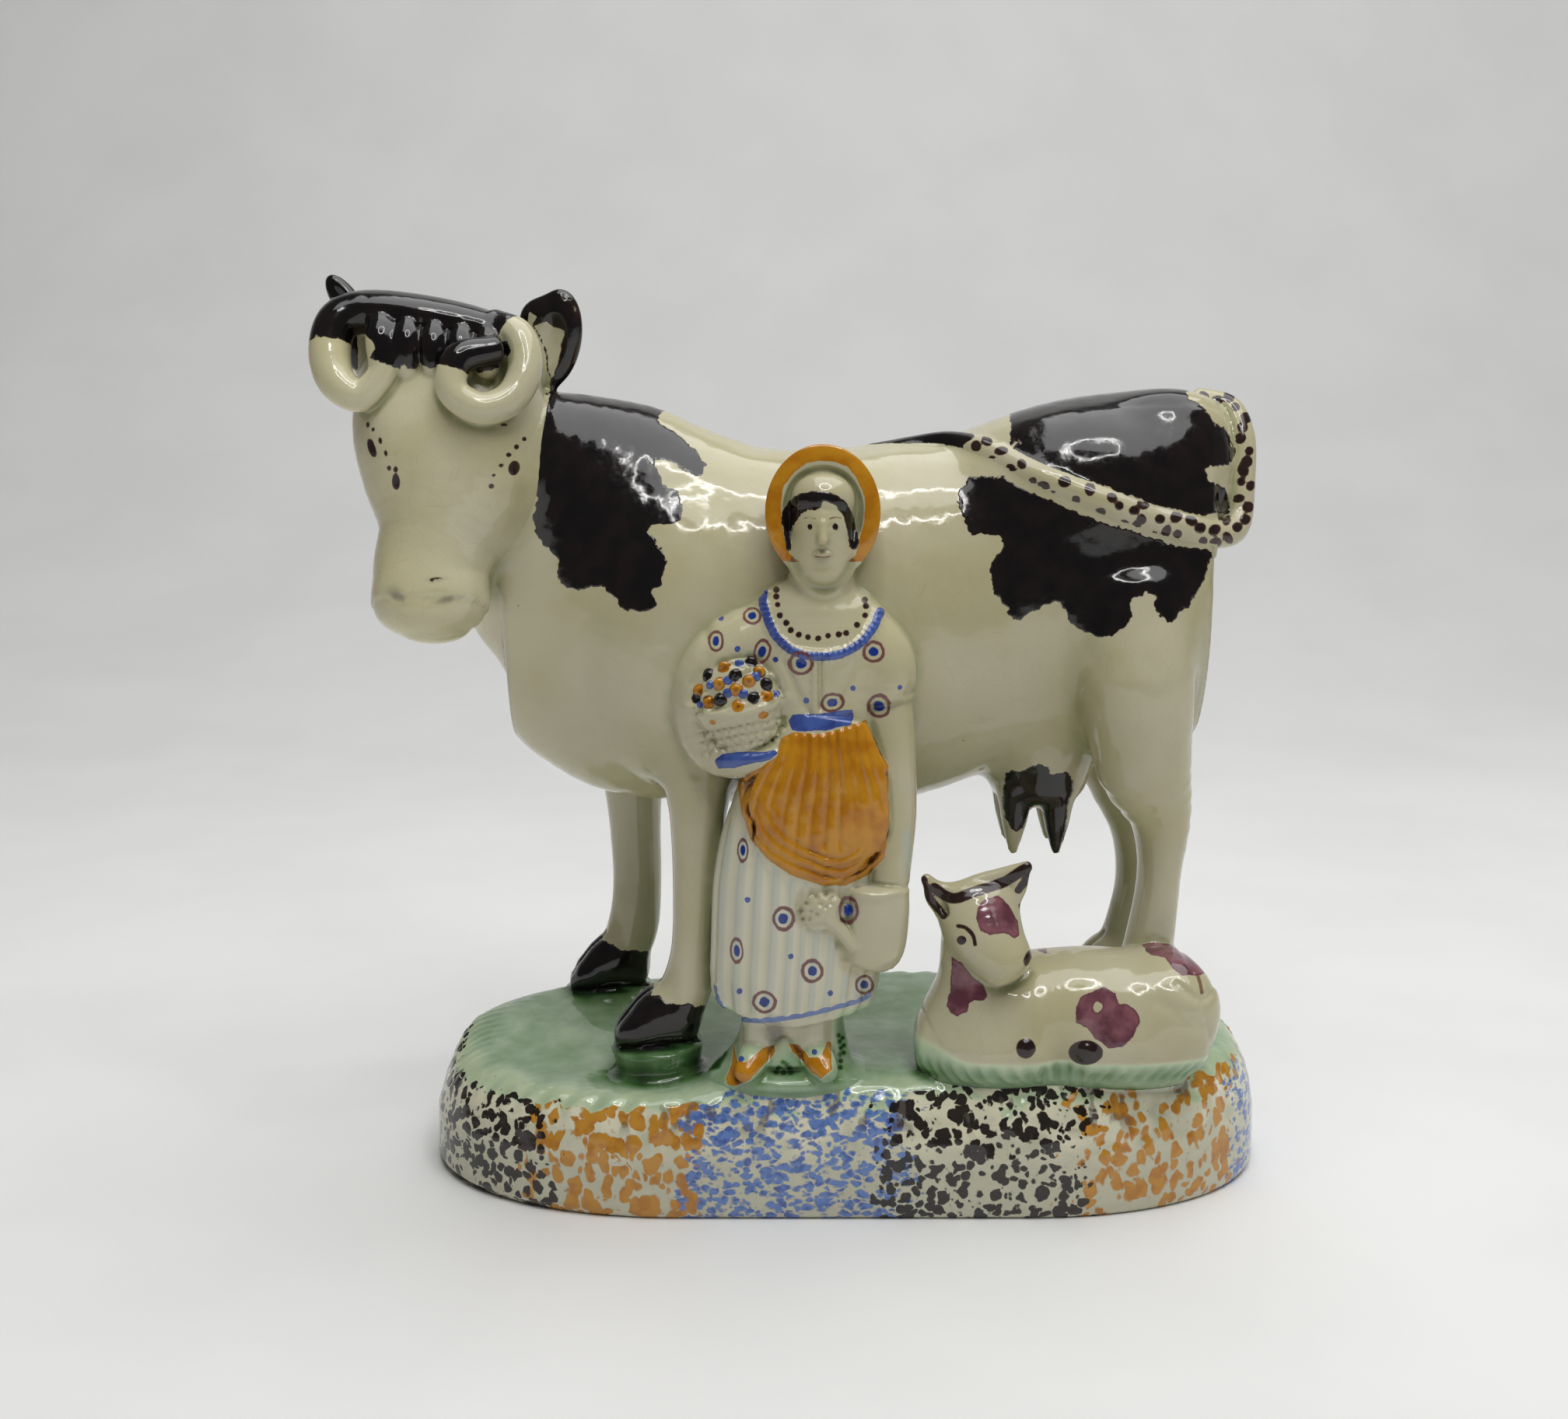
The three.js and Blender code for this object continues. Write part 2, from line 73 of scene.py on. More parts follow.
def place(pixel, y):
    """The point at depth y that a pixel shows."""
    u, v = (pixel[0] - PHOTO_WIDTH / 2) / FOCAL_PX, (PHOTO_HEIGHT / 2 - pixel[1]) / FOCAL_PX
    ray = np.array([u, math.cos(TILT) + v * math.sin(TILT), v * math.cos(TILT) - math.sin(TILT)])
    return EYE + ray * ((y - EYE[1]) / ray[1])


# Forms as signed distances

def spline(rows, count):
    """Points along a centripetal Catmull-Rom curve through rows."""
    p = np.asarray(rows, float)
    p = np.vstack([2 * p[0] - p[1], p, 2 * p[-1] - p[-2]])
    t = np.linspace(0, len(p) - 3, count)
    i = np.minimum(t.astype(int), len(p) - 4)
    u = (t - i)[:, None]
    a, b, c, d = p[i], p[i + 1], p[i + 2], p[i + 3]
    pairs = ((a, b), (b, c), (c, d))
    ab, bc, cd = (np.maximum(((m - n) ** 2).sum(1) ** 0.25, 1e-4)[:, None] for m, n in pairs)
    m = ((b - a) / ab - (c - a) / (ab + bc) + (c - b) / bc) * bc
    n = ((c - b) / bc - (d - b) / (bc + cd) + (d - c) / cd) * bc
    return b + m * u + (3 * (c - b) - 2 * m - n) * u ** 2 + (2 * (b - c) + m + n) * u ** 3


def unit(v):
    return v / np.maximum(np.linalg.norm(v, axis=-1, keepdims=True), 1e-9)


def ramp(value, low, high):
    t = np.clip((value - low) / (high - low), 0, 1)
    return t * t * (3 - 2 * t)


def soft_min(a, b, k):
    if k <= 0:
        return np.minimum(a, b)
    h = np.clip(0.5 + 0.5 * (b - a) / k, 0, 1)
    return b + (a - b) * h - k * h * (1 - h)


class Grid:
    def __init__(self, low, high, step):
        self.low, self.step = np.array(low, np.float32), step
        self.axes = [np.arange(l, h + step, step).astype(np.float32) for l, h in zip(low, high)]
        self.shape = tuple(len(a) for a in self.axes)

    def block(self, low, high):
        """The slices of the grid inside a box, or None, and the coordinates there."""
        cut = [slice(*np.searchsorted(a, [l, h])) for a, l, h in zip(self.axes, low, high)]
        if any(c.start >= c.stop for c in cut):
            return None, None
        x, y, z = (a[c] for a, c in zip(self.axes, cut))
        return tuple(cut), (x[:, None, None], y[None, :, None], z[None, None, :])


class Limb:
    """A body along a smooth spine. A station is a point, the half-width across side, and the one square to it
    where that differs."""

    def __init__(self, stations, side=(1, 0, 0), count=24, square=2.0, domes=(0.6, 0.6), upright=None):
        rows = np.array([s if len(s) > 4 else (*s, s[3]) for s in stations], float)
        self.centre, self.radii = spline(rows[:, :3], count), spline(rows[:, 3:], count)
        along = unit(np.gradient(self.centre, axis=0))
        if upright is not None:
            along = np.tile(np.asarray(upright, float), (count, 1))
        side = np.asarray(side, float)
        self.a = unit(side - along * (along @ side)[:, None])
        self.b = np.cross(along, self.a)
        self.along = along
        self.square, self.domes = square, domes
        most = self.radii.max(1, keepdims=True)
        self.low, self.high = (self.centre - most).min(0), (self.centre + most).max(0)

    def sample(self, grid, margin):
        where, _ = grid.block(self.low - margin, self.high + margin)
        if where is None:
            return None, None
        out = np.full(tuple(c.stop - c.start for c in where), FAR, np.float32)
        offset = [c.start for c in where]
        last = len(self.centre) - 2
        for i in range(last + 1):
            p, q = self.centre[i], self.centre[i + 1]
            reach = self.radii[i:i + 2].max() + margin
            inner, at = grid.block(np.maximum(np.minimum(p, q) - reach, self.low - margin),
                                   np.minimum(np.maximum(p, q) + reach, self.high + margin))
            if inner is None:
                continue
            x, y, z = at
            local = tuple(slice(c.start - o, c.stop - o) for c, o in zip(inner, offset))
            step = q - p
            t = ((x - p[0]) * step[0] + (y - p[1]) * step[1] + (z - p[2]) * step[2]) / (step @ step)
            t = np.clip(t, 0, 1).astype(np.float32)
            ox, oy, oz = x - p[0] - t * step[0], y - p[1] - t * step[1], z - p[2] - t * step[2]

            def part(pair):
                first, second = pair
                v = ox * first[0] + oy * first[1] + oz * first[2]
                w = ox * second[0] + oy * second[1] + oz * second[2]
                return v + (w - v) * t

            u, v, w = part(self.a[i:i + 2]), part(self.b[i:i + 2]), part(self.along[i:i + 2])
            ra = self.radii[i, 0] + (self.radii[i + 1, 0] - self.radii[i, 0]) * t
            rb = self.radii[i, 1] + (self.radii[i + 1, 1] - self.radii[i, 1]) * t
            rc = np.minimum(ra, rb)
            if i == 0:
                rc = np.where(w < 0, rc * self.domes[0], rc)
            if i == last:
                rc = np.where(w > 0, rc * self.domes[1], rc)
            if self.square == 2:
                flat = (u / ra) ** 2 + (v / rb) ** 2
            else:
                n = self.square
                flat = (np.abs(u / ra) ** n + np.abs(v / rb) ** n) ** (2 / n)
            size = np.sqrt(flat + (w / rc) ** 2) + 1e-5
            length = np.sqrt(ox * ox + oy * oy + oz * oz)
            d = np.where(size > 0.05, (size - 1) * length / size, -rc)
            for end, outward, own in ((0, -1, 0), (-1, 1, last)):
                tip = self.centre[end]
                if i != own and np.linalg.norm((p + q) / 2 - tip) < 1.6 * self.radii[end].max() + 1:
                    way = self.along[end] * outward
                    past = (x - tip[0]) * way[0] + (y - tip[1]) * way[1] + (z - tip[2]) * way[2]
                    d = np.where(past > 0, FAR, d)
            out[local] = np.minimum(out[local], d)
        return where, out


class Egg:
    """An ellipsoid at a point, with three half-sizes and turns in degrees about X, Y and Z."""

    def __init__(self, at, size, turns=(0, 0, 0)):
        self.at, self.size = np.array(at, float), np.array(size, float)
        cx, cy, cz = np.cos(np.radians(turns))
        sx, sy, sz = np.sin(np.radians(turns))
        turn_x = np.array([[1, 0, 0], [0, cx, -sx], [0, sx, cx]])
        turn_y = np.array([[cy, 0, sy], [0, 1, 0], [-sy, 0, cy]])
        turn_z = np.array([[cz, -sz, 0], [sz, cz, 0], [0, 0, 1]])
        self.frame = turn_x @ turn_y @ turn_z
        reach = np.sqrt(((self.frame * self.size) ** 2).sum(1))
        self.low, self.high = self.at - reach, self.at + reach

    def sample(self, grid, margin):
        where, at = grid.block(self.low - margin, self.high + margin)
        if where is None:
            return None, None
        x, y, z = (c - o for c, o in zip(at, self.at))
        near = far = 0
        for column, size in zip(self.frame.T, self.size):
            s = (x * column[0] + y * column[1] + z * column[2]) / size
            near = near + s * s
            far = far + (s / size) ** 2
        near, far = np.sqrt(near), np.sqrt(far)
        return where, (near * (near - 1) / np.maximum(far, 1e-5)).astype(np.float32)

    def struck(self, pixels):
        """Where the sight lines of pixels meet the egg, or pass it closest."""
        found = []
        for pixel in pixels:
            way = unit(place(pixel, 0) - EYE)
            start, ray = self.frame.T @ (EYE - self.at) / self.size, self.frame.T @ way / self.size
            a, b, c = ray @ ray, start @ ray, start @ start - 1
            found.append(EYE + way * ((-b - math.sqrt(max(b * b - a * c, 0))) / a))
        return found


class Shape:
    """A form given by a function of x, y and z over a box."""

    def __init__(self, low, high, distance):
        self.low, self.high, self.distance = np.array(low, float), np.array(high, float), distance

    def sample(self, grid, margin):
        where, at = grid.block(self.low - margin, self.high + margin)
        if where is None:
            return None, None
        return where, self.distance(*at).astype(np.float32)


def limb(stations, join, **shape):
    return "add", Limb(stations, **shape), join


def lump(at, size, join, turns=(0, 0, 0)):
    return "add", Egg(at, size, turns), join


def dent(at, size, join, turns=(0, 0, 0)):
    return "cut", Egg(at, size, turns), join


# Enlarged views of the photograph that shapes and paint were read from: left, top, enlargement.
VIEWS = {"head": (380, 340, 3.0154), "bonnet": (950, 560, 4.6118), "bodice": (850, 760, 4.3556),
         "skirt": (880, 1060, 4.2378), "calf": (1160, 1090, 3.6465), "rump": (1100, 480, 2.9037),
         "shoulder": (660, 480, 4.6118), "left": (560, 1230, 2.8), "right": (1080, 1230, 2.8),
         "udder": (1140, 960, 3.7333), "photo": (0, 0, 1)}


def read(view, points):
    """Points read in a view, as pixels of the whole photograph."""
    left, top, scale = VIEWS[view]
    return np.array(points, float) / scale + (left, top)


def line_distance(u, v, points, closed=False):
    """Distance in pixels from places to a line of points, and how far along the line the nearest point is."""
    best, along = 1e9, 0
    pairs = list(zip(points, np.roll(points, -1, 0) if closed else points[1:]))
    for i, (p, q) in enumerate(pairs):
        d = q - p
        t = np.clip(((u - p[0]) * d[0] + (v - p[1]) * d[1]) / max(d @ d, 1e-9), 0, 1)
        away = (u - p[0] - t * d[0]) ** 2 + (v - p[1] - t * d[1]) ** 2
        along = np.where(away < best, (i + t) / len(pairs), along)
        best = np.minimum(best, away)
    return np.sqrt(best), along


def region(u, v, points):
    """Signed distance in pixels to a closed outline, positive inside."""
    d, _ = line_distance(u, v, points, closed=True)
    inside = np.zeros(np.broadcast(u, v).shape, bool)
    for p, q in zip(points, np.roll(points, -1, 0)):
        crosses = (p[1] > v) != (q[1] > v)
        slope = (q[0] - p[0]) / (q[1] - p[1] if q[1] != p[1] else 1e-9)
        inside ^= crosses & (u < p[0] + slope * (v - p[1]))
    return np.where(inside, d, -d)


def front_box(points, y_near, y_far, room=3.0):
    corners = [place(c, y) for y in (y_near, y_far) for c in ((points[:, 0].min(), points[:, 1].min()),
                                                              (points[:, 0].max(), points[:, 1].max()))]
    return np.min(corners, 0) - (room, 0, room), np.max(corners, 0) + (room, 0, room)


def stroke(view, points, width, height, depth=(-34, -21), smooth=0, twist=0):
    """A raised or cut line on the side that the photograph shows; twist gives it the turns of a rope."""
    points = read(view, points)
    if smooth:
        points = spline(points, smooth)

    def lift(x, y, z):
        u, v, size = look(x, y, z)
        away, along = line_distance(u, v, points)
        turns = 1 + 0.45 * np.cos(2 * math.pi * twist * along) if twist else 1
        return np.exp(-(away * size / width) ** 2) * turns

    return "raise", Shape(*front_box(points, *depth), lift), height


def dots(view, points, width, height, depth=(-34, -21)):
    points = read(view, points)

    def lift(x, y, z):
        u, v, size = look(x, y, z)
        total = 0
        for p in points:
            r = np.sqrt((u - p[0]) ** 2 + (v - p[1]) ** 2) * size / width
            total = np.maximum(total, np.clip(1 - r ** 3, 0, 1))
        return total

    return "raise", Shape(*front_box(points, *depth), lift), height


def blend(grid, forms, margin):
    """Joins (kind, form, radius) rows in order. add joins, cut takes away, and raise lifts the surface."""
    total = np.full(grid.shape, FAR, np.float32)
    for kind, form, radius in forms:
        where, d = form.sample(grid, 0.5 if kind == "raise" else margin)
        if where is None:
            continue
        if kind == "add":
            total[where] = soft_min(total[where], d, radius)
        elif kind == "cut":
            total[where] = -soft_min(-total[where], d, radius)
        else:
            total[where] -= d * radius
    return total


def sample_at(grid, field, points):
    """Values between grid points."""
    at = (points - grid.low) / grid.step
    at = np.clip(at, 0, np.array(grid.shape) - 1.001)
    i = at.astype(int)
    f = (at - i).astype(np.float32)
    _, ny, nz = grid.shape
    flat = field.reshape(-1)
    base = (i[:, 0] * ny + i[:, 1]) * nz + i[:, 2]
    total = 0
    for a in (0, 1):
        for b in (0, 1):
            for c in (0, 1):
                weight = abs(1 - a - f[:, 0]) * abs(1 - b - f[:, 1]) * abs(1 - c - f[:, 2])
                total = total + weight * flat[base + (a * ny + b) * nz + c]
    return total


def skin(grid, field):
    """The surface at zero as points, quads and outward directions."""
    inside = field < 0
    n = [s - 1 for s in grid.shape]
    corners = [(a, b, c) for a in (0, 1) for b in (0, 1) for c in (0, 1)]
    count = np.zeros(n, np.int8)
    for a, b, c in corners:
        count += inside[a:a + n[0], b:b + n[1], c:c + n[2]]
    active = (count > 0) & (count < 8)
    cells = np.argwhere(active)
    index = np.full(n, -1, np.int32)
    index[active] = np.arange(len(cells))
    total, hits = np.zeros((len(cells), 3), np.float32), np.zeros(len(cells), np.float32)
    values = {c: field[tuple((cells + c).T)] for c in corners}
    for low in corners:
        for axis in range(3):
            if low[axis]:
                continue
            high = tuple(1 if k == axis else low[k] for k in range(3))
            p, q = values[low], values[high]
            crossing = (p < 0) != (q < 0)
            t = np.where(crossing, p / np.where(crossing, p - q, 1), 0)
            place = np.tile(np.array(low, np.float32), (len(cells), 1))
            place[:, axis] += t
            total += place * crossing[:, None]
            hits += crossing
    points = (cells + total / hits[:, None]) * grid.step + grid.low
    quads = []
    for axis in range(3):
        low = [slice(None)] * 3
        high = [slice(None)] * 3
        low[axis], high[axis] = slice(0, -1), slice(1, None)
        p, q = inside[tuple(low)], inside[tuple(high)]
        edge = np.argwhere(p != q)
        others = [k for k in range(3) if k != axis]
        keep = np.all([(edge[:, k] > 0) & (edge[:, k] < n[k]) for k in others], axis=0)
        edge = edge[keep]
        ring = []
        for da, db in ((-1, -1), (0, -1), (0, 0), (-1, 0)):
            cell = edge.copy()
            cell[:, others[0]] += da
            cell[:, others[1]] += db
            ring.append(index[tuple(cell.T)])
        ring = np.stack(ring, 1)
        flip = p[tuple(edge.T)] == (axis == 1)
        ring[flip] = ring[flip][:, ::-1]
        quads.append(ring)
    quads = np.concatenate(quads)
    slope = [np.ascontiguousarray(g) for g in np.gradient(field, grid.step)]
    for _ in range(3):
        g = np.stack([sample_at(grid, s, points) for s in slope], 1)
        d = sample_at(grid, field, points)
        move = g * (d / np.maximum((g * g).sum(1), 0.05))[:, None]
        size = np.linalg.norm(move, axis=1, keepdims=True)
        points = points - move * np.minimum(1, 0.4 * grid.step / np.maximum(size, 1e-6))
    g = np.stack([sample_at(grid, s, points) for s in slope], 1)
    return points, quads, unit(g)


# Named sizes, mm

BONNET_X, BONNET_Z, BONNET_HALF_WIDTH, BONNET_HALF_HEIGHT = -4.2, 103.7, 8.2, 9.6
MAID_LEGS = (-13.2, -5.6)
BASE_LENGTH, BASE_WIDTH, BASE_HEIGHT = 130.0, 58.0, 21.0
BASE_END_LENGTH, BASE_END_EXPONENT = 39.0, 2.09
NEAR_LEG_Y, FAR_LEG_Y = -15.0, 13.0
HOOF_FEET = [(-28.6, NEAR_LEG_Y), (-38.2, FAR_LEG_Y), (42.6, NEAR_LEG_Y + 5), (43.6, FAR_LEG_Y)]
PAD_TOP = 23.2
TAIL_RADIUS, HORN_RADIUS, TEAT_LENGTH = 2.1, 2.5, 9.5
HAIR_LOBES = 5
CALF_Y, MAID_Y = -17.5, -20.5
UP, ACROSS, ALONG = (0, 0, 1), (0, 1, 0), (1, 0, 0)


# The base

def lumps(x, y, z, size, seed):
    """Smooth irregular relief between -1 and 1, with bumps of about one size."""
    table = np.random.default_rng(seed).uniform(-1, 1, (64, 64, 64)).astype(np.float32)
    cells, shares = [], []
    for value in (x, y, z):
        at = value / size + 200
        low = np.floor(at).astype(int)
        share = at - low
        cells.append(low)
        shares.append(share * share * (3 - 2 * share))
    total = 0
    for a in (0, 1):
        for b in (0, 1):
            for c in (0, 1):
                weight = abs(1 - a - shares[0]) * abs(1 - b - shares[1]) * abs(1 - c - shares[2])
                total = total + weight * table[(cells[0] + a) % 64, (cells[1] + b) % 64, (cells[2] + c) % 64]
    return total


def base_edge(x, y):
    """Distance outside the plan of the base, and how far a point is round its left end."""
    straight, half = BASE_LENGTH / 2 - BASE_END_LENGTH, BASE_WIDTH / 2
    a = np.maximum(np.abs(x) - straight, 0) / BASE_END_LENGTH
    b = np.abs(y) / half + 1e-4
    n = BASE_END_EXPONENT
    q = (a ** n + b ** n) ** (1 / n)
    slope = np.sqrt((a ** (n - 1) / BASE_END_LENGTH) ** 2 + (b ** (n - 1) / half) ** 2) * q ** (1 - n)
    left = np.where(x < -straight, a / np.maximum(q, 1e-4), 0)
    return (q - 1) / np.maximum(slope, 1e-4), left


def base_distance(x, y, z):
    out, left = base_edge(x, y)
    high = [0, 1.4, 9, 13, 15.5, 17.6, 19.4, 20.6, 22]
    inset = [0.7, 0, 0.1, 0.7, 1.4, 2.3, 3.5, 5.2, 8]
    back = ramp(y, 0, 18) * ramp(x, -30, -12)
    lean = np.interp(z, high, inset) * (1 + 1.1 * left * (1 - 0.8 * ramp(y, -4, 8))) * (1 - 0.5 * back)
    angle = np.arctan2(y / BASE_WIDTH, x / BASE_LENGTH)
    ribs = np.where((y > 2) | (x < -30), 0.42 * np.cos(84 * angle), 0) * ramp(z, 13, 18.5)
    front = ramp(-y, 8, 16) * ramp(z, 9, 12.5) * ramp(x, -44, -34)
    pits = (lumps(x, y, z * 0.8, 2.3, 1) + 0.5 * lumps(x, y, z, 4.6, 2)) * front * 0.42
    wall = (out + lean + ribs + pits) * 0.82
    dip = 3 * ramp(-x, 8, 30) * ramp(-y, -6, 15)
    rise = (1.2 + 0.5 * ramp(-x, 20, 50)) * ramp(y, 0, 14)
    top = (z - BASE_HEIGHT - rise + dip + 0.25 * np.cos(x * 0.11 + 1) * np.cos(y * 0.16)) * 0.98
    return -soft_min(-wall, -top, 2.2)


def base_forms():
    edge = (BASE_LENGTH / 2 + 1, BASE_WIDTH / 2 + 1)
    block = Shape((-edge[0], -edge[1], 0), (edge[0], edge[1], 23), base_distance)
    floor = Shape((-edge[0], -edge[1], 0), (edge[0], edge[1], 23), lambda x, y, z: z + 0 * x + 0 * y)
    forms = [("add", block, 0)]
    for x, y in HOOF_FEET:
        forms.append(limb([(x, y + 0.6, BASE_HEIGHT - 5, 6.6, 5.8),
                           (x - 0.2, y + 0.2, BASE_HEIGHT - 1, 6.4, 5.4),
                           (x - 0.4, y, PAD_TOP - 0.4, 7.2, 5.8)], 1.8, count=7, domes=(0.2, 0.06)))
    forms.append(("cut", floor, 0))
    return forms


# The cow

def leg(stations, y, count=22):
    return Limb([(x, y + dy, z, a, b) for x, dy, z, a, b in stations], count=count, domes=(0.5, 0.3))


def cow_body_forms():
    # x, top of the back, underside, half-width
    sections = [
        [-51.5, 98, 80, 7], [-48, 110, 70.5, 12], [-42, 117.5, 62.4, 15.6], [-34, 116.6, 58.4, 18],
        [-22, 113.2, 57.4, 19.4], [-8, 111.5, 57, 19.8], [6, 112.6, 57.6, 19.6], [18, 113.8, 61.5, 19],
        [28, 117.3, 64, 18.8], [40, 119.9, 65, 18.4], [47, 120.2, 66, 17], [50.8, 119.6, 69, 13.2],
        [53.4, 117.8, 90, 8.6]]
    trunk = Limb([(x, 0, (top + low) / 2, half, (top - low) / 2) for x, top, low, half in sections],
                 side=ACROSS, upright=ALONG, count=56, square=2.2, domes=(0.6, 0.2))
    neck = Limb([(-28, 0, 92, 14.6, 21.6), (-38, -1, 97, 13.6, 22.4), (-47, -5, 103.4, 12.5, 18.6),
                 (-54.5, -9.5, 110, 11, 12.6)], side=ACROSS, count=16)
    forms = [("add", trunk, 0), ("add", neck, 5)]
    legs = [
        ([(-22, 2.5, 78, 8.6, 6.5), (-22.4, 1, 68, 6.2, 6), (-22.5, 0, 58, 4.3, 5.2),
          (-22.9, 0, 48, 3.5, 4.4), (-23.4, 0, 39, 3.2, 4.2), (-24, 0, 33, 3.8, 4.4),
          (-26, 0, 28, 4.2, 4.6)], NEAR_LEG_Y),
        ([(-33.4, -2.5, 72, 7.4, 6.5), (-34.2, -1, 61, 5.2, 5.5), (-34, 0, 50, 4.2, 4.8),
          (-33.8, 0, 40, 4, 4.4), (-34.6, 0, 33, 4.2, 4.4), (-36.6, 0, 28, 4.2, 4.6)], FAR_LEG_Y),
        ([(42, 2.4, 90, 9, 8), (42.4, -1.6, 77, 8.2, 7.6), (43.8, 1, 66, 7.2, 6.6), (47.2, 4, 57, 4.6, 5),
          (47.4, 5, 47, 3.3, 4.2), (46.4, 5, 38, 3.7, 4.2), (44.6, 4.5, 28, 4.4, 4.6)], NEAR_LEG_Y),
        ([(42, -3, 84, 8.6, 7), (42.4, -1, 71, 7.8, 6.6), (44.6, -0.6, 60, 6, 5.8),
          (48, -0.5, 50, 4.4, 4.8), (48.6, 0, 41, 3.9, 4.4), (47.6, 0, 34, 4.2, 4.4),
          (45.6, 0, 27, 4.4, 4.6)], FAR_LEG_Y),
    ]
    forms += [("add", leg(stations, y), 4) for stations, y in legs]
    forms += [
        lump((-27, -13, 84), (9, 7.4, 19), 5, (0, 8, 0)),
        lump((-27, 12, 84), (9, 7.4, 19), 5, (0, 8, 0)),
        lump((36, -7, 106.5), (16, 11, 11), 6),
        limb([(47, -3, 103, 10.6, 12), (47, -3, 109, 11.2, 12), (46.8, -1, 114.6, 10.4, 10.6)], 2, count=8,
             domes=(0.3, 0.5)),
    ]
    forms.append(limb([(29.5, 0, 70, 11), (29.8, 0, 63, 8.2, 9.5), (30, 0, 58.6, 6.2, 8)],
                      2.5, count=10, domes=(0.5, 0.3)))
    for x, tip in ((25.9, 25.7), (32.4, 32.3)):
        for y in (-5, 5):
            teat = Limb([(x, y, 59.5, 2.8), ((x + tip) / 2, y, 59.5 - TEAT_LENGTH / 2, 2),
                         (tip, y, 59.5 - TEAT_LENGTH, 0.7)], count=10)
            forms.append(("add", teat, 1.6))
    return forms


def hoof_forms():
    forms = []
    for x, y in HOOF_FEET:
        block = Limb([(x + 5, y, 27, 3.6), (x + 1.2, y, 27.6, 5, 4.6), (x - 3, y, 25.6, 4.9, 3),
                      (x - 6.2, y, 24, 3, 1.5)], side=ACROSS, upright=(-1, 0, 0), count=16, square=2.5,
                     domes=(0.4, 0.5))
        cleft = Limb([(x - 0.5, y - 0.6, 32.4, 0.35, 0.7), (x - 3.6, y - 0.8, 29, 0.4, 0.7),
                      (x - 7.4, y - 1, 25, 0.4, 0.8)], side=ACROSS, count=8)
        forms += [("add", block, 0.8), ("cut", cleft, 0.7)]
    return forms


LEFT_EAR = Egg((-70.6, -10.6, 127), (3.2, 2, 5.6), (0, -14, 0))
RIGHT_EAR = Egg((-43.2, -10, 128), (4.1, 2.2, 7.3), (8, 12, -10))


def horns():
    r = HORN_RADIUS
    rows = [
        [(-69, -16.4, 131.8, r * 1.2), (-72.9, -17.5, 130.4, r * 1.24, r * 1.2),
         (-74, -19, 126.2, r * 1.28, r * 1.2), (-72.6, -21, 121.8, r * 1.08),
         (-69.4, -21.5, 120, r * .94), (-66.4, -21.5, 122.6, r * .84),
         (-65.2, -21, 126.4, r * .8), (-66.6, -18.8, 131, r * .8)],
        [(-51, -17, 129.4, r * 1.1), (-47.4, -19, 128, r * 1.08), (-46.1, -21.4, 123.8, r),
         (-48, -23.6, 119.6, r * .96), (-52, -25.1, 118.3, r * .92),
         (-55.8, -25.5, 120.9, r * .9), (-55, -24.4, 125, r * .92),
         (-50, -22.4, 126.4, r * .78)],
    ]
    return [Limb(row, side=ACROSS, count=44) for row in rows]


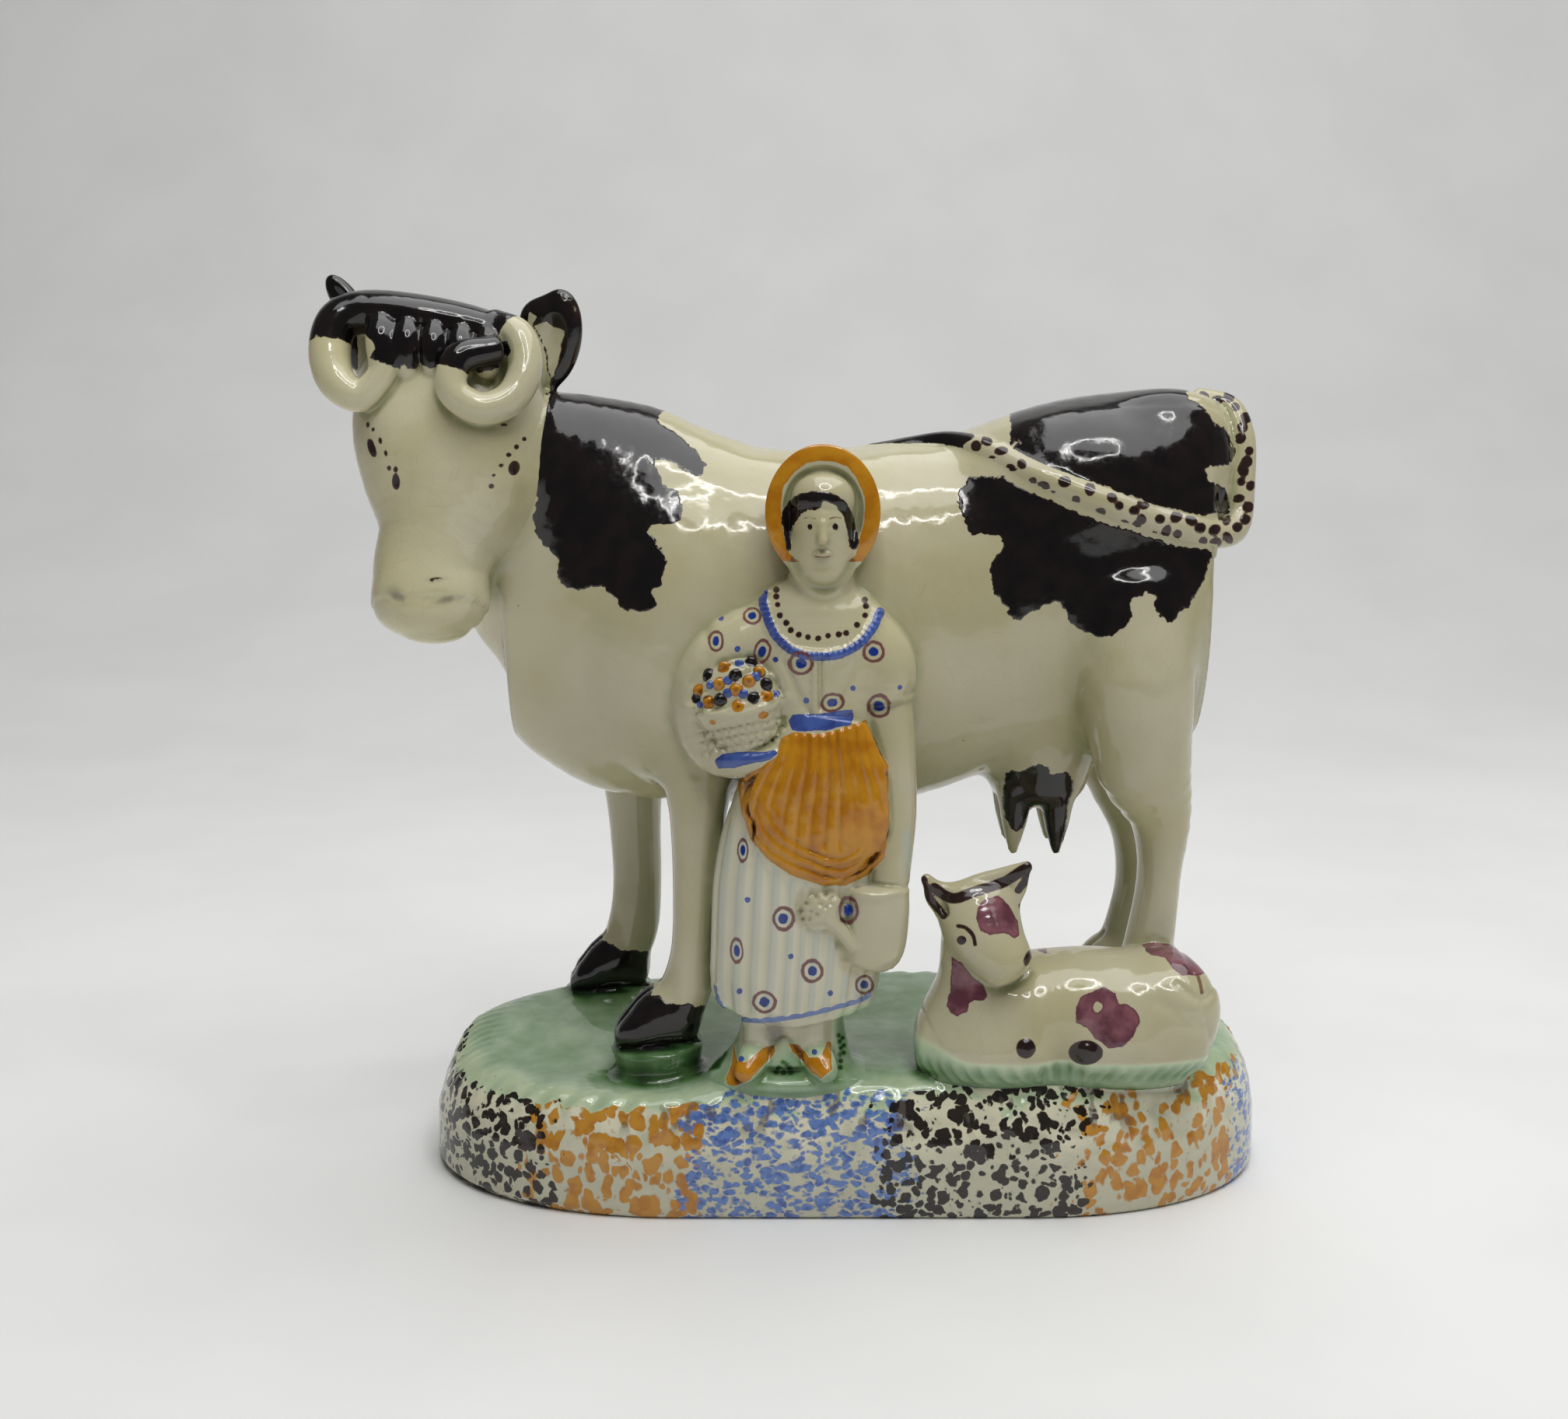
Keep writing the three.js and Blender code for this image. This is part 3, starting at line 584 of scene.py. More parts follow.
def cow_head_forms():
    skull = Limb([(-58.6, -9.5, 127.6, 9.6, 6), (-58.4, -11, 122, 13.2, 10), (-58.3, -13, 115, 14, 11.6),
                  (-57.8, -14.6, 108.5, 13, 11), (-59.2, -16.8, 101, 8.9, 8.8),
                  (-60.6, -18.4, 95.5, 8.3, 7.8), (-60.6, -19.4, 92, 8.3, 7.4),
                  (-60.6, -20.4, 89.6, 7, 6.4)], count=34, domes=(0.4, 0.5))
    forms = [
        ("add", skull, 0),
        lump((-63.6, -19.6, 113.4), (3.4, 3.4, 5), 4, (0, 12, 0)),
        lump((-52.2, -20.2, 112.6), (3.4, 3.2, 5), 4, (0, -14, 0)),
        lump((-60.6, -23.6, 92.8), (6.6, 2.6, 3.6), 3),
        dent((-64.8, -27.4, 92.2), (1.3, 0.9, 0.7), 1.4, (0, 30, 0)),
        dent((-58.6, -28, 91.8), (1.8, 0.9, 0.6), 1.4, (0, -14, 0)),
        lump((-60.6, -20.6, 89.6), (7.4, 6.2, 4.2), 3),
        lump((-59.8, -21.4, 86.6), (4.6, 3.8, 1.9), 0.8),
    ]
    bar = Limb([(-73, -15.6, 131.2, 3.6, 2.9), (-69, -15, 131.9, 4.8, 3), (-62, -15.2, 131.3, 5, 3),
                (-55, -15.6, 130, 4.8, 2.9), (-48.6, -16.6, 128.2, 3.6, 2.6)], side=ACROSS, count=18)
    forms.append(("add", bar, 1.2))
    for i in range(HAIR_LOBES):
        x, z = -66.6 + i * 3.75, 130 - i * 0.42
        lobe = Limb([(x, -18.8, z + 0.4, 1.9, 1.7), (x + 0.1, -21, z - 1.8, 2.05, 1.9),
                     (x + 0.2, -21.6, z - 4.6, 1.8, 1.5), (x + 0.3, -21.2, z - 7.4 + 0.5 * i, 1.3, 0.9)],
                    count=14, domes=(0.7, 0.9))
        forms.append(("add", lobe, 0.35))
    forms += [("add", horn, 0.6) for horn in horns()]
    for foot, tip in (((-50, -9, 127.2), (-44, -10, 127.6)), ((-65, -10, 127.6), (-71.4, -11, 131.4))):
        forms.append(limb([(*foot, 3), (*tip, 2.2)], 1.5, side=ACROSS, count=4))
    forms += [
        lump((-73, -11, 133.2), (2, 1.8, 4.6), 1.2, (0, -34, 0)),
        dent((-73.4, -13, 133.4), (0.9, 1.2, 3.2), 0.8, (0, -34, 0)),
        ("add", LEFT_EAR, 1),
        ("add", RIGHT_EAR, 1),
        lump((-44.4, -10.2, 130.4), (3.9, 2, 3.6), 1, (8, 12, -10)),
        dent((-43.4, -13.5, 127.6), (2.5, 2.2, 5.4), 0.8, (8, 12, -10)),
    ]
    return forms


def tail_forms():
    r = TAIL_RADIUS
    path = [
        (53, 0, 118.8, r), (57, -2, 117.8, r), (58.6, -4.5, 114, r), (58.4, -7, 106.4, r),
        (57.6, -9, 101.2, r), (55.2, -12.4, 99.8, r), (49, -15.8, 100.8, r), (42.6, -17.3, 102.6, r),
        (35, -17.7, 105.4, r), (27, -15.4, 108.4, r), (21.2, -10.6, 111.2, r),
        (15, -3.6, 112.9, r * .75, r), (9, -1.5, 112.3, r * .6, r * 1.05),
        (3.4, -0.6, 111.7, r * .35, r * .6)]
    return [limb(path, 0, side=UP, count=70, domes=(0.6, 0.6))]


# The milkmaid

# Outlines on the milkmaid, read in the enlarged views
CHIN_STRAP = [(296, 740), (318, 820), (378, 892), (440, 930), (520, 945), (600, 915), (655, 860), (700, 770)]
CHIN_LINE = [(330, 745), (372, 815), (425, 868), (500, 888), (575, 872), (632, 815), (664, 745)]
CAP_SEAM = [
    (296, 400), (318, 300), (372, 240), (450, 216), (540, 216), (610, 232), (668, 290), (700, 370),
    (708, 460), (700, 560)]
HEM = [
    (166, 884), (186, 961), (235, 1026), (308, 1061), (392, 1072), (531, 1061), (685, 1035), (839, 995),
    (962, 958), (1011, 930)]
APRON = [
    (668, 830), (735, 792), (900, 800), (1065, 752), (1145, 722), (1180, 790), (1215, 880), (1275, 985),
    (1272, 1100), (1283, 1300), (1250, 1500), (1160, 1590), (1040, 1650), (900, 1650), (720, 1590),
    (590, 1500), (500, 1390), (450, 1240), (425, 1060), (560, 985), (650, 925)]
NECKLINE = [
    (148, 925), (140, 975), (165, 1075), (215, 1185), (300, 1265), (390, 1302), (485, 1312), (600, 1298),
    (710, 1240), (790, 1150), (838, 1045)]
BELT = [
    (712, 722), (735, 690), (880, 690), (1000, 672), (1070, 662), (1080, 700), (1062, 748), (930, 782),
    (800, 788), (732, 782)]
CUFF = [
    (298, 955), (340, 915), (440, 902), (560, 903), (640, 888), (655, 910), (615, 945), (520, 968),
    (420, 990), (320, 998)]
BASKET_RIM = [(156, 655), (250, 690), (360, 705), (480, 690), (610, 645), (706, 596)]
BLACK_FLOWERS = [(262, 474), (415, 470), (505, 398), (590, 520), (330, 612), (515, 600), (208, 600)]
OCHRE_FLOWERS = [
    (355, 425), (550, 452), (325, 520), (493, 503), (420, 552), (590, 590), (432, 645), (300, 716),
    (565, 680), (268, 624), (216, 560)]
BLUE_FLOWERS = [
    (440, 405), (275, 525), (375, 500), (372, 572), (462, 578), (612, 645), (380, 682), (222, 640),
    (640, 583), (300, 420), (530, 480)]
PLAIN_FLOWERS = [
    (250, 590), (450, 340), (400, 405), (560, 640), (500, 660), (665, 640), (660, 545), (270, 655),
    (445, 455), (610, 480), (480, 440), (580, 420)]
ROSE_HOLES = [
    (665, 432), (715, 398), (770, 386), (806, 404), (635, 474), (690, 476), (738, 436), (768, 452),
    (680, 512), (722, 492), (795, 434), (648, 512)]
PLEAT, PLEAT_TURN = 84.0, (930, 1200)
SKIRT_FLUTES, SKIRT_FLUTE_DEPTH = 25, 0.42


HEAP = Egg((-15.7, MAID_Y - 3.6, 77.2), (6.3, 4.3, 6))


def flutes(x, y, z):
    angle = np.arctan2(x + 7.4 - 0.06 * (z - 38), -(y - MAID_Y))
    wave = 0.5 + 0.5 * np.cos(SKIRT_FLUTES * angle + 0.5 * np.sin(z * 0.11) + 0.4 * np.sin(angle * 7))
    return wave * ramp(z, 29.5, 32) * (1 - ramp(z, 56, 62))


def pleats(x, y, z):
    """Folds that hang from the belt and turn along the apron's lower edge."""
    u, v, size = look(x, y, z)
    inside = region(u, v, read("bodice", APRON)) * size
    left, top, scale = VIEWS["bodice"]
    across, down = (u - left) * scale - PLEAT_TURN[0], (v - top) * scale - PLEAT_TURN[1]
    spread = 0.6 + 0.4 * ramp(down, -380, 60)
    hang = across / spread / PLEAT + 0.16 * np.sin(down / 120 + across / 190)
    hung = np.exp(-(np.sin(math.pi * hang) / 0.48) ** 2) * (1 - ramp(down + 0.12 * across, 190, 330))
    turned = np.exp(-(np.sin(math.pi * (inside + 0.3 * np.sin(across / 90)) / 1.35) / 0.5) ** 2)
    turned = turned * ramp(down - 0.35 * across, 60, 260)
    turned = turned * (1 - ramp(inside, 4, 5.2)) * ramp(inside, 0.3, 0.9)
    return ramp(inside, -0.1, 0.6) * (0.5 - 0.75 * hung * (0.75 + 0.25 * np.sin(hang * 2.3)) - 0.55 * turned)


def weave(x, y, z):
    u, v, _ = look(x, y, z)
    left, top, scale = VIEWS["bodice"]
    across, down = (u - left) * scale, (v - top) * scale
    tilt = down + 0.18 * across
    inside = ramp(tilt, 795, 835) * (1 - ramp(tilt, 955, 985))
    inside = inside * ramp(across, 190, 240) * (1 - ramp(across, 690, 715))
    rib = np.exp(-(np.sin(math.pi * (across - 0.25 * down) / 46) / 0.4) ** 2)
    row = np.exp(-(np.sin(math.pi * tilt / 52) / 0.4) ** 2)
    return inside * (0.25 - np.maximum(rib, row))


def maid_forms():
    y = MAID_Y
    half = (BONNET_HALF_WIDTH, BONNET_HALF_HEIGHT)
    brim = Limb([(BONNET_X, y + 0.8, BONNET_Z - 0.1, *half), (BONNET_X, y - 2.6, BONNET_Z, *half)],
                count=5, domes=(0.12, 0.1))
    under_brim = Shape((-16, y - 8, 90), (8, y + 6, 96.6), lambda px, py, pz: pz - 96.4 + 0 * px + 0 * py)

    def hem(px, py, pz):
        """The skirt's lower end, which rises to the right."""
        return pz - 28.9 - 0.2 * np.maximum(px + 8, 0) + 0 * py

    forms = [
        ("add", brim, 0),
        ("cut", under_brim, 0.4),
        limb([(-9.4, y, 28.4, 8.2, 5.4), (-9, y, 29.8, 10, 6.5), (-8.6, y, 32, 11.4, 7.1),
              (-8.1, y, 36, 12.2, 7.6), (-7.6, y, 48, 12.2, 7.7), (-6.6, y, 58, 11.3, 7.4),
              (-4.8, y, 68, 9.6, 6.9)], 0, count=30, square=2.3, domes=(0.1, 0.4)),
        ("cut", Shape((-24, -32, 26.5), (8, -11, 32.5), hem), 0.6),
        ("raise", Shape((-24, -33, 29), (10, -8, 63), flutes), SKIRT_FLUTE_DEPTH),
        limb([(-4.6, y, 66, 9, 6.6), (-4.8, y, 74, 9, 6.6), (-5, y, 82, 11, 7),
              (-5, y + 0.3, 87.6, 9.6, 5.8), (-4.6, y + 0.5, 91.4, 5.6, 4.6),
              (-4.3, y + 0.2, 96, 3.8, 3.9)], 1, count=24, domes=(0.3, 0.5)),
        limb([(-9, y + 1, 87, 5, 4.6), (-18.4, y + 1, 82.4, 5.8, 5), (-21.2, y + 0.4, 75.4, 5.2, 4.8),
              (-19.4, y - 1.4, 69.8, 4.4, 4), (-13.6, y - 4.4, 68.6, 3, 2.6), (-8.8, y - 5.2, 70, 2.2, 2)],
             0.8, side=ACROSS, count=26),
        limb([(-1, y + 0.6, 87.6, 5, 4.6), (4, y, 82, 5.2), (4.6, y - 0.4, 76.6, 4.6, 4.9)], 1, count=12,
             domes=(0.6, 0.15)),
        limb([(4.6, y, 79, 4, 4.4), (5.4, y - 0.6, 70, 4, 4.2), (5.8, y - 1.6, 60, 3.8),
              (5.6, y - 3.4, 50.6, 3)], 0.5, count=16),
        lump((-4.2, y + 1.4, 104.4), (6.9, 6, 7.6), 0.8),
    ]
    forms += [
        dent((-4.2, y - 3.6, 103.9), (5.9, 2.8, 6.7), 0.5),
        lump((-4.2, y - 0.6, 104.6), (5.2, 3.6, 6), 0.3),
        lump((-4.3, y - 1.6, 101.4), (4.5, 5, 6), 0.35),
        lump((-4.3, y - 1.8, 97.8), (4.9, 4.2, 4.4), 0.8),
        lump((-4.2, y - 1.4, 105.6), (4.9, 4.6, 4.1), 0.2),
        lump((-4.3, y - 2.4, 95.2), (3.9, 3.4, 2.4), 0.9),
        limb([(-4.3, y - 6, 102.4, 0.45, 0.6), (-4.3, y - 6.9, 99.9, 0.75, 0.8)], 0.7, count=6),
        dent((-6.1, y - 6.9, 102), (0.9, 0.7, 0.55), 0.5),
        dent((-2.5, y - 6.9, 102), (0.9, 0.7, 0.55), 0.5),
        limb([(-5.4, y - 6, 98.1, 0.3), (-4.3, y - 6.35, 98, 0.4), (-3.2, y - 6, 98.1, 0.3)], 0.4, side=UP,
             count=6),
    ]
    bowl = Limb([(-13.6, y - 4, 71, 4.2, 3.2), (-15, y - 4, 74, 5.9, 3.9), (-16, y - 4, 77, 6.8, 4.4)],
                count=12, domes=(0.2, 0.1))
    forms += [("add", bowl, 0.2), ("add", HEAP, 0.2)]
    for flowers, size in ((BLACK_FLOWERS + OCHRE_FLOWERS, 0.92), (BLUE_FLOWERS + PLAIN_FLOWERS, 0.66)):
        for at in HEAP.struck(read("bodice", flowers)):
            forms.append(lump(at, (size, size * 0.6, size * 0.9), 0.12))
            forms.append(dent(at - (0, size * 0.7, 0), (size * 0.4, size * 0.3, size * 0.35), 0.2))
    apron = Limb([(-3.2, y - 5.2, 74.4, 5.6, 2), (-4, y - 6, 68, 8.8, 2.2), (-4.6, y - 6.2, 60, 10, 2.5),
                  (-4.6, y - 6.3, 55, 8.6, 2.4), (-3.4, y - 6.2, 51.4, 5, 1.8)], count=22, square=2.6,
                 domes=(0.3, 0.5))
    forms += [
        ("add", apron, 0.25),
        ("raise", Shape((-19, -35, 47), (9, -24, 77), pleats), 0.95),
        ("raise", Shape((-24, -32, 68), (-6, -24, 80), weave), 0.42),
    ]
    forms += [
        limb([(2.4, y - 5, 38.8, 3.6, 3), (3.2, y - 5, 41.4, 4.8, 3.4), (3.6, y - 5, 46, 4.9, 3.6),
              (3.8, y - 5, 49.6, 4.6, 3.3)], 0.2, count=14, domes=(0.4, 0.2)),
        limb([(0.4, y - 6.8, 41.4, 1.5, 1.2), (-1.6, y - 7.1, 44, 1.5, 1.2),
              (-3.8, y - 7.4, 46, 1.8, 1.2)], 0.2, side=ACROSS, count=10),
        limb([(-1, y - 7, 46.6, 1.1, 1), (-3.6, y - 7.3, 47.2, 1.5, 1)], 0.2, side=ACROSS, count=5),
        lump((-4.3, y - 7.7, 46.9), (3.3, 1.4, 2.7), 0.15, (0, -24, 0)),
    ]
    for x, turn in zip(MAID_LEGS, (-1.6, 1.6)):
        forms.append(limb([(x, y - 1.6, 33, 2.7, 2.9), (x, y - 2, 23, 2.4, 2.6)], 0.5, count=6))
        forms.append(limb([(x, y - 1.4, 23.8, 2.5, 3), (x + turn * .7, y - 4.6, 23.2, 2.4, 2.3),
                           (x + turn * 1.5, y - 7, 21.9, 1.5, 1.3)], 0.3, count=12))
    forms += [
        limb([(-9, y + 0.8, 18, 12, 6), (-8.6, y + 0.8, 22.4, 9, 4.8), (-8.2, y + 0.6, 28, 7.4, 4.4),
              (-8.2, y + 0.6, 33, 6.8, 4.4)], 0.8, count=14),
        lump((-9, y + 0.2, 19.8), (12, 7.2, 2.4), 1.4),
        limb([(-9.7, y - 3, 26, 0.8, 1.4), (-9.8, y - 4.6, 22.6, 3.2, 1.7)], 0.3, side=ALONG, count=8,
             domes=(0.6, 0.3)),
        stroke("bonnet", NECKLINE, 0.8, 0.45, smooth=30, twist=34),
        stroke("bonnet", CHIN_STRAP, 0.6, 0.4, smooth=24),
        stroke("bonnet", CHIN_LINE, 0.4, -0.22, smooth=24),
        stroke("bonnet", CAP_SEAM, 0.5, -0.2, smooth=30),
        stroke("skirt", HEM, 0.6, 0.3, (-31, -10), smooth=40, twist=17),
        stroke("bodice", BELT[1:5], 0.9, 0.25, (-31, -24)),
        stroke("bodice", [(300, 960), (440, 945), (560, 935), (640, 905)], 0.9, 0.4, (-33, -22)),
        stroke("bodice", [(886, 390), (892, 660)], 0.4, -0.5, (-31, -24)),
        stroke("bodice", [(690, 400), (760, 560), (830, 680)], 0.5, -0.42, (-31, -24)),
        stroke("bodice", [(1090, 400), (1010, 560), (965, 660)], 0.5, -0.3, (-31, -24)),
        stroke("bodice", [(1190, 650), (1300, 645), (1400, 560)], 0.6, -0.3, (-31, -20)),
        stroke("bodice", [(255, 210), (262, 330), (235, 440), (180, 520)], 0.7, -0.3, (-31, -18)),
        stroke("bodice", BASKET_RIM, 0.75, 0.5, (-31, -23), smooth=20),
        stroke("skirt", [(905, 372), (1040, 400), (1200, 345)], 0.7, 0.35, (-31, -22), smooth=12),
        stroke("skirt", [(862, 758), (1000, 782), (1150, 735)], 0.6, 0.3, (-31, -22), smooth=12),
        dots("skirt", ROSE_HOLES, 0.4, -0.4, (-31, -26)),
    ]
    for step in range(9):
        low = (852 - (step % 2) * 4, 420 + step * 30)
        forms.append(stroke("bodice", [low, (low[0] + 22, low[1] + 1)], 0.28, 0.36, (-31, -24)))
    return forms


# The calf

def calf_edge(x, y, z):
    """Ribs round the foot of the calf's mound."""
    angle = np.arctan2(y - CALF_Y, (x - 32) * 0.45)
    ribs = 0.5 + 0.5 * np.cos(70 * angle)
    return ribs * ramp(z, 19.6, 20.6) * (1 - ramp(z, 22.2, 24.4)) * ramp(-y, 16, 20)


def calf_forms():
    y = CALF_Y
    return [
        limb([(14.8, y, 24, 7, 5.2), (20.6, y, 27.6, 9, 8), (28, y, 28.6, 10, 9),
              (38, y, 28.8, 10.2, 9.2), (46.4, y, 29.2, 10.2, 9), (51.4, y, 30.4, 7.6, 7)],
             0, side=ACROSS, count=26, domes=(0.6, 0.4)),
        limb([(17.6, y - 1, 25, 6.6, 6), (18.2, y - 2.4, 34, 5, 5.2), (18.8, y - 3.4, 43, 5.2, 4.6)],
             4, count=14),
        limb([(18.6, y - 2.6, 48.3, 6.4, 3), (18.8, y - 3.8, 45.4, 6.2, 4.3), (20, y - 5.6, 41.6, 5.6, 4.7),
              (22, y - 7.4, 39, 4.5, 4), (23.2, y - 8.2, 37.6, 3.8, 3.4)],
             0.8, count=18, domes=(0.3, 0.6)),
        limb([(10.9, y - 4.2, 50.2, 0.6, 0.7), (12.8, y - 4, 48.6, 1.1), (15.2, y - 3.8, 48.2, 1.2),
              (19.4, y - 3.8, 49.5, 1.2, 1.3), (23.4, y - 4.2, 50.8, 1.1, 1.2),
              (26.1, y - 4.8, 52.2, 0.6, 0.7)], 0.5, side=ACROSS, count=24),
        limb([(11.2, y - 4.4, 50, 0.6), (12.6, y - 4, 47, 1.5, 0.9), (14.8, y - 4, 43.6, 0.8, 0.6)],
             0.7, count=12),
        limb([(25.8, y - 4.8, 51.8, 0.6), (24.6, y - 4.4, 48.6, 1.3, 0.9), (23.8, y - 4.6, 45.6, 0.7, 0.6)],
             0.7, count=12),
        dent((13.4, y - 6, 46.6), (0.6, 1.2, 2), 0.5, (0, -28, 0)),
        limb([(14, y - 1.4, 23.6, 6, 4), (20, y - 5.4, 23.8, 5, 4.2), (27, y - 7.6, 24.2, 2.8, 2.6)],
             4, side=ACROSS, count=14),
        limb([(48.6, y - 2.4, 25.2, 6, 5.2), (43, y - 5.2, 25, 5.2, 5), (34.8, y - 7.6, 24.2, 2.8, 2.4)],
             4, side=ACROSS, count=14),
        lump((48, y - 4.2, 30.4), (6.8, 5.4, 6.8), 2.5),
        lump((34.6, y - 2.4, 31), (6.4, 5.6, 6.2), 4),
        limb([(13.4, y + 0.8, 20, 6.6, 2), (22, y + 0.6, 20.4, 8, 2.8), (40, y + 0.6, 20.4, 8.2, 2.8),
              (49, y + 0.8, 20, 7, 2)], 3, side=ACROSS, count=18),
        ("raise", Shape((0, -32, 19), (64, -14, 25), calf_edge), 0.3),
        dots("calf", [(580, 942), (860, 962)], 1.5, 0.45, (-30, -22)),
        stroke("calf", [(1290, 640), (1350, 690), (1395, 712), (1440, 690), (1452, 620), (1425, 560)],
               0.5, -0.35, (-30, -8), smooth=20),
        stroke("calf", [(230, 520), (330, 580), (440, 640), (540, 640), (600, 600)],
               0.7, -0.25, (-30, -20), smooth=16),
        stroke("calf", [(1215, 730), (1330, 800), (1400, 840), (1425, 870)],
               1.0, -0.2, (-30, -10), smooth=12),
    ]


# Meshes

GROUPS = {"base": base_forms(), "body": cow_body_forms() + hoof_forms(), "head": cow_head_forms(),
          "tail": tail_forms(), "maid": maid_forms(), "calf": calf_forms()}
JOINS = {"base": 0, "body": 0.8, "head": 2.5, "tail": 0.5, "maid": 1.2, "calf": 1.4}
# name, group, low corner, high corner, grid step, how far the surface is set in
PIECES = [
    ("base", "base", (-66, -30, -1), (66, 30, 27), 0.5, 0.05),
    ("cow_body", "body", (-66, -27, 20), (62, 26, 125), 0.65, 0.04),
    ("cow_head", "head", (-80, -34, 82), (-36, 2, 140), 0.34, 0.03),
    ("cow_tail", "tail", (0, -22, 96), (63, 5, 123), 0.42, 0.02),
    ("milkmaid_skirt", "maid", (-30, -35, 18), (14, -10, 71.6), 0.27, 0),
    ("milkmaid_bust", "maid", (-30, -35, 71), (14, -10, 116), 0.25, 0.015),
    ("calf", "calf", (0, -32, 17), (62, -4, 55), 0.34, 0.01),
]
SKIN_DEPTH, SINK_BESIDE = 1.5, 0.16
ROOM = {"base": 4, "body": 9, "head": 5, "tail": 3, "maid": 3.5, "calf": 5}


def reaches(low, high, other_low, other_high):
    return all(l < b and a < h for l, h, a, b in zip(low, high, other_low, other_high))


def make_piece(name, group, low, high, step, sink):
    grid = Grid(low, high, step * (1))
    fields, whole, rest = {}, None, None
    for other, forms in GROUPS.items():
        added = [form for kind, form, _ in forms if kind == "add"]
        added_low = np.min([form.low for form in added], 0) - 2
        added_high = np.max([form.high for form in added], 0) + 2
        if not reaches(low, high, added_low, added_high):
            continue
        field = blend(grid, forms, ROOM[other])
        fields[other] = field
        whole = field if whole is None else soft_min(whole, field, JOINS[other])
        if other != group:
            rest = field if rest is None else np.minimum(rest, field)
    if rest is not None:
        sink = sink + SINK_BESIDE * ramp(fields[group] - rest, 0, 0.8)
    surface = np.maximum(whole + sink, fields[group] - SKIN_DEPTH)
    points, quads, normals = skin(grid, surface)
    mesh = bpy.data.meshes.new(name)
    mesh.vertices.add(len(points))
    mesh.vertices.foreach_set("co", (points * MM).astype(np.float32).ravel())
    mesh.loops.add(quads.size)
    mesh.loops.foreach_set("vertex_index", quads.astype(np.int32).ravel())
    mesh.polygons.add(len(quads))
    mesh.polygons.foreach_set("loop_start", np.arange(0, quads.size, 4, dtype=np.int32))
    mesh.update(calc_edges=True)
    mesh.validate()
    mesh.polygons.foreach_set("use_smooth", np.ones(len(mesh.polygons), bool))
    mesh.normals_split_custom_set_from_vertices(normals)
    piece = bpy.data.objects.new(name, mesh)
    bpy.context.scene.collection.objects.link(piece)
    return piece, grid, fields, whole, points, normals


# Paint

SHOULDER = [
    (690, 430), (800, 490), (852, 528), (844, 541), (862, 552), (877, 562), (896, 582), (907, 597),
    (905, 610), (894, 613), (883, 606), (862, 593), (844, 592), (841, 598), (849, 608), (851, 622),
    (859, 630), (871, 631), (875, 640), (878, 666), (872, 674), (864, 676), (850, 673), (836, 675),
    (836, 684), (844, 697), (855, 712), (857, 723), (851, 742), (851, 754), (842, 757), (839, 763),
    (845, 777), (838, 785), (831, 787), (810, 786), (798, 779), (794, 771), (780, 760), (777, 753),
    (758, 754), (742, 760), (729, 757), (720, 748), (717, 736), (717, 719), (703, 703), (691, 692),
    (688, 684), (685, 664), (690, 640), (676, 600), (664, 520)]
SADDLE = [
    (585, 290), (640, 330), (760, 380), (900, 410), (1000, 450), (1150, 500), (1270, 528), (1400, 524),
    (1392, 470), (1385, 430), (1370, 425), (1320, 400), (1296, 352), (1340, 348), (1400, 340), (1416, 300),
    (1400, 230), (1376, 214), (1350, 190), (1310, 130), (1270, 108), (1240, 84), (1236, -90), (560, -60)]
SADDLE_TONGUE = [(470, 236), (520, 240), (585, 246), (622, 262), (560, 262), (500, 262)]
HAUNCH = [
    (385, 430), (420, 395), (480, 385), (545, 385), (640, 440), (760, 490), (900, 550), (1040, 590),
    (1180, 640), (1340, 665), (1310, 740), (1290, 800), (1250, 865), (1215, 880), (1190, 925), (1165, 930),
    (1140, 915), (1120, 890), (1120, 830), (1090, 815), (1050, 840), (1020, 850), (1030, 880), (1030, 910),
    (990, 960), (955, 978), (920, 985), (885, 976), (860, 970), (800, 930), (780, 880), (765, 862),
    (740, 855), (700, 870), (672, 892), (650, 890), (630, 908), (610, 925), (585, 912), (570, 890),
    (560, 860), (530, 840), (516, 820), (510, 790), (495, 720), (520, 690), (535, 668), (550, 640),
    (540, 610), (500, 600), (470, 606), (440, 605), (425, 585), (410, 560), (398, 530), (385, 500)]
UDDER_BLACK = [
    (565, 180), (575, 130), (600, 112), (650, 120), (690, 100), (730, 85), (775, 100), (795, 140),
    (840, 122), (885, 130), (895, 170), (880, 250), (862, 400), (830, 500), (805, 520), (780, 490),
    (760, 380), (748, 300), (720, 270), (695, 300), (680, 340), (650, 395), (615, 408), (590, 390),
    (565, 340), (552, 260)]
TAIL_DOTS = [
    (450, 272), (490, 252), (543, 290), (507, 326), (577, 362), (660, 407), (732, 457), (780, 405),
    (822, 473), (875, 433), (957, 465), (912, 520), (1003, 567), (1040, 512), (1045, 575), (1068, 545),
    (1075, 487), (1115, 608), (1137, 545), (1198, 535), (1202, 600), (1253, 550), (1287, 578), (1297, 630),
    (1340, 585), (1385, 548), (1390, 615), (1425, 575), (1465, 500), (1430, 468), (1475, 420), (1447, 362),
    (1470, 290), (1437, 243), (1457, 167), (1418, 125), (1395, 85), (1300, 85), (1350, 100), (1455, 545),
    (1345, 632), (1160, 590), (620, 340), (700, 425), (985, 495), (1445, 200), (1460, 330), (1440, 405)]
REAR_DOTS = [(58.8, -1, 120.4), (58.8, -3, 117.6), (58.8, -6, 112)]
HAIR = [
    (40, 20), (40, 200), (120, 250), (200, 290), (255, 255), (300, 300), (318, 345), (340, 376),
    (372, 392), (405, 396), (424, 388), (437, 402), (470, 404), (480, 382), (500, 398), (522, 406),
    (547, 402), (560, 380), (600, 350), (800, 322), (832, 236), (850, 205), (900, 150), (900, 20)]
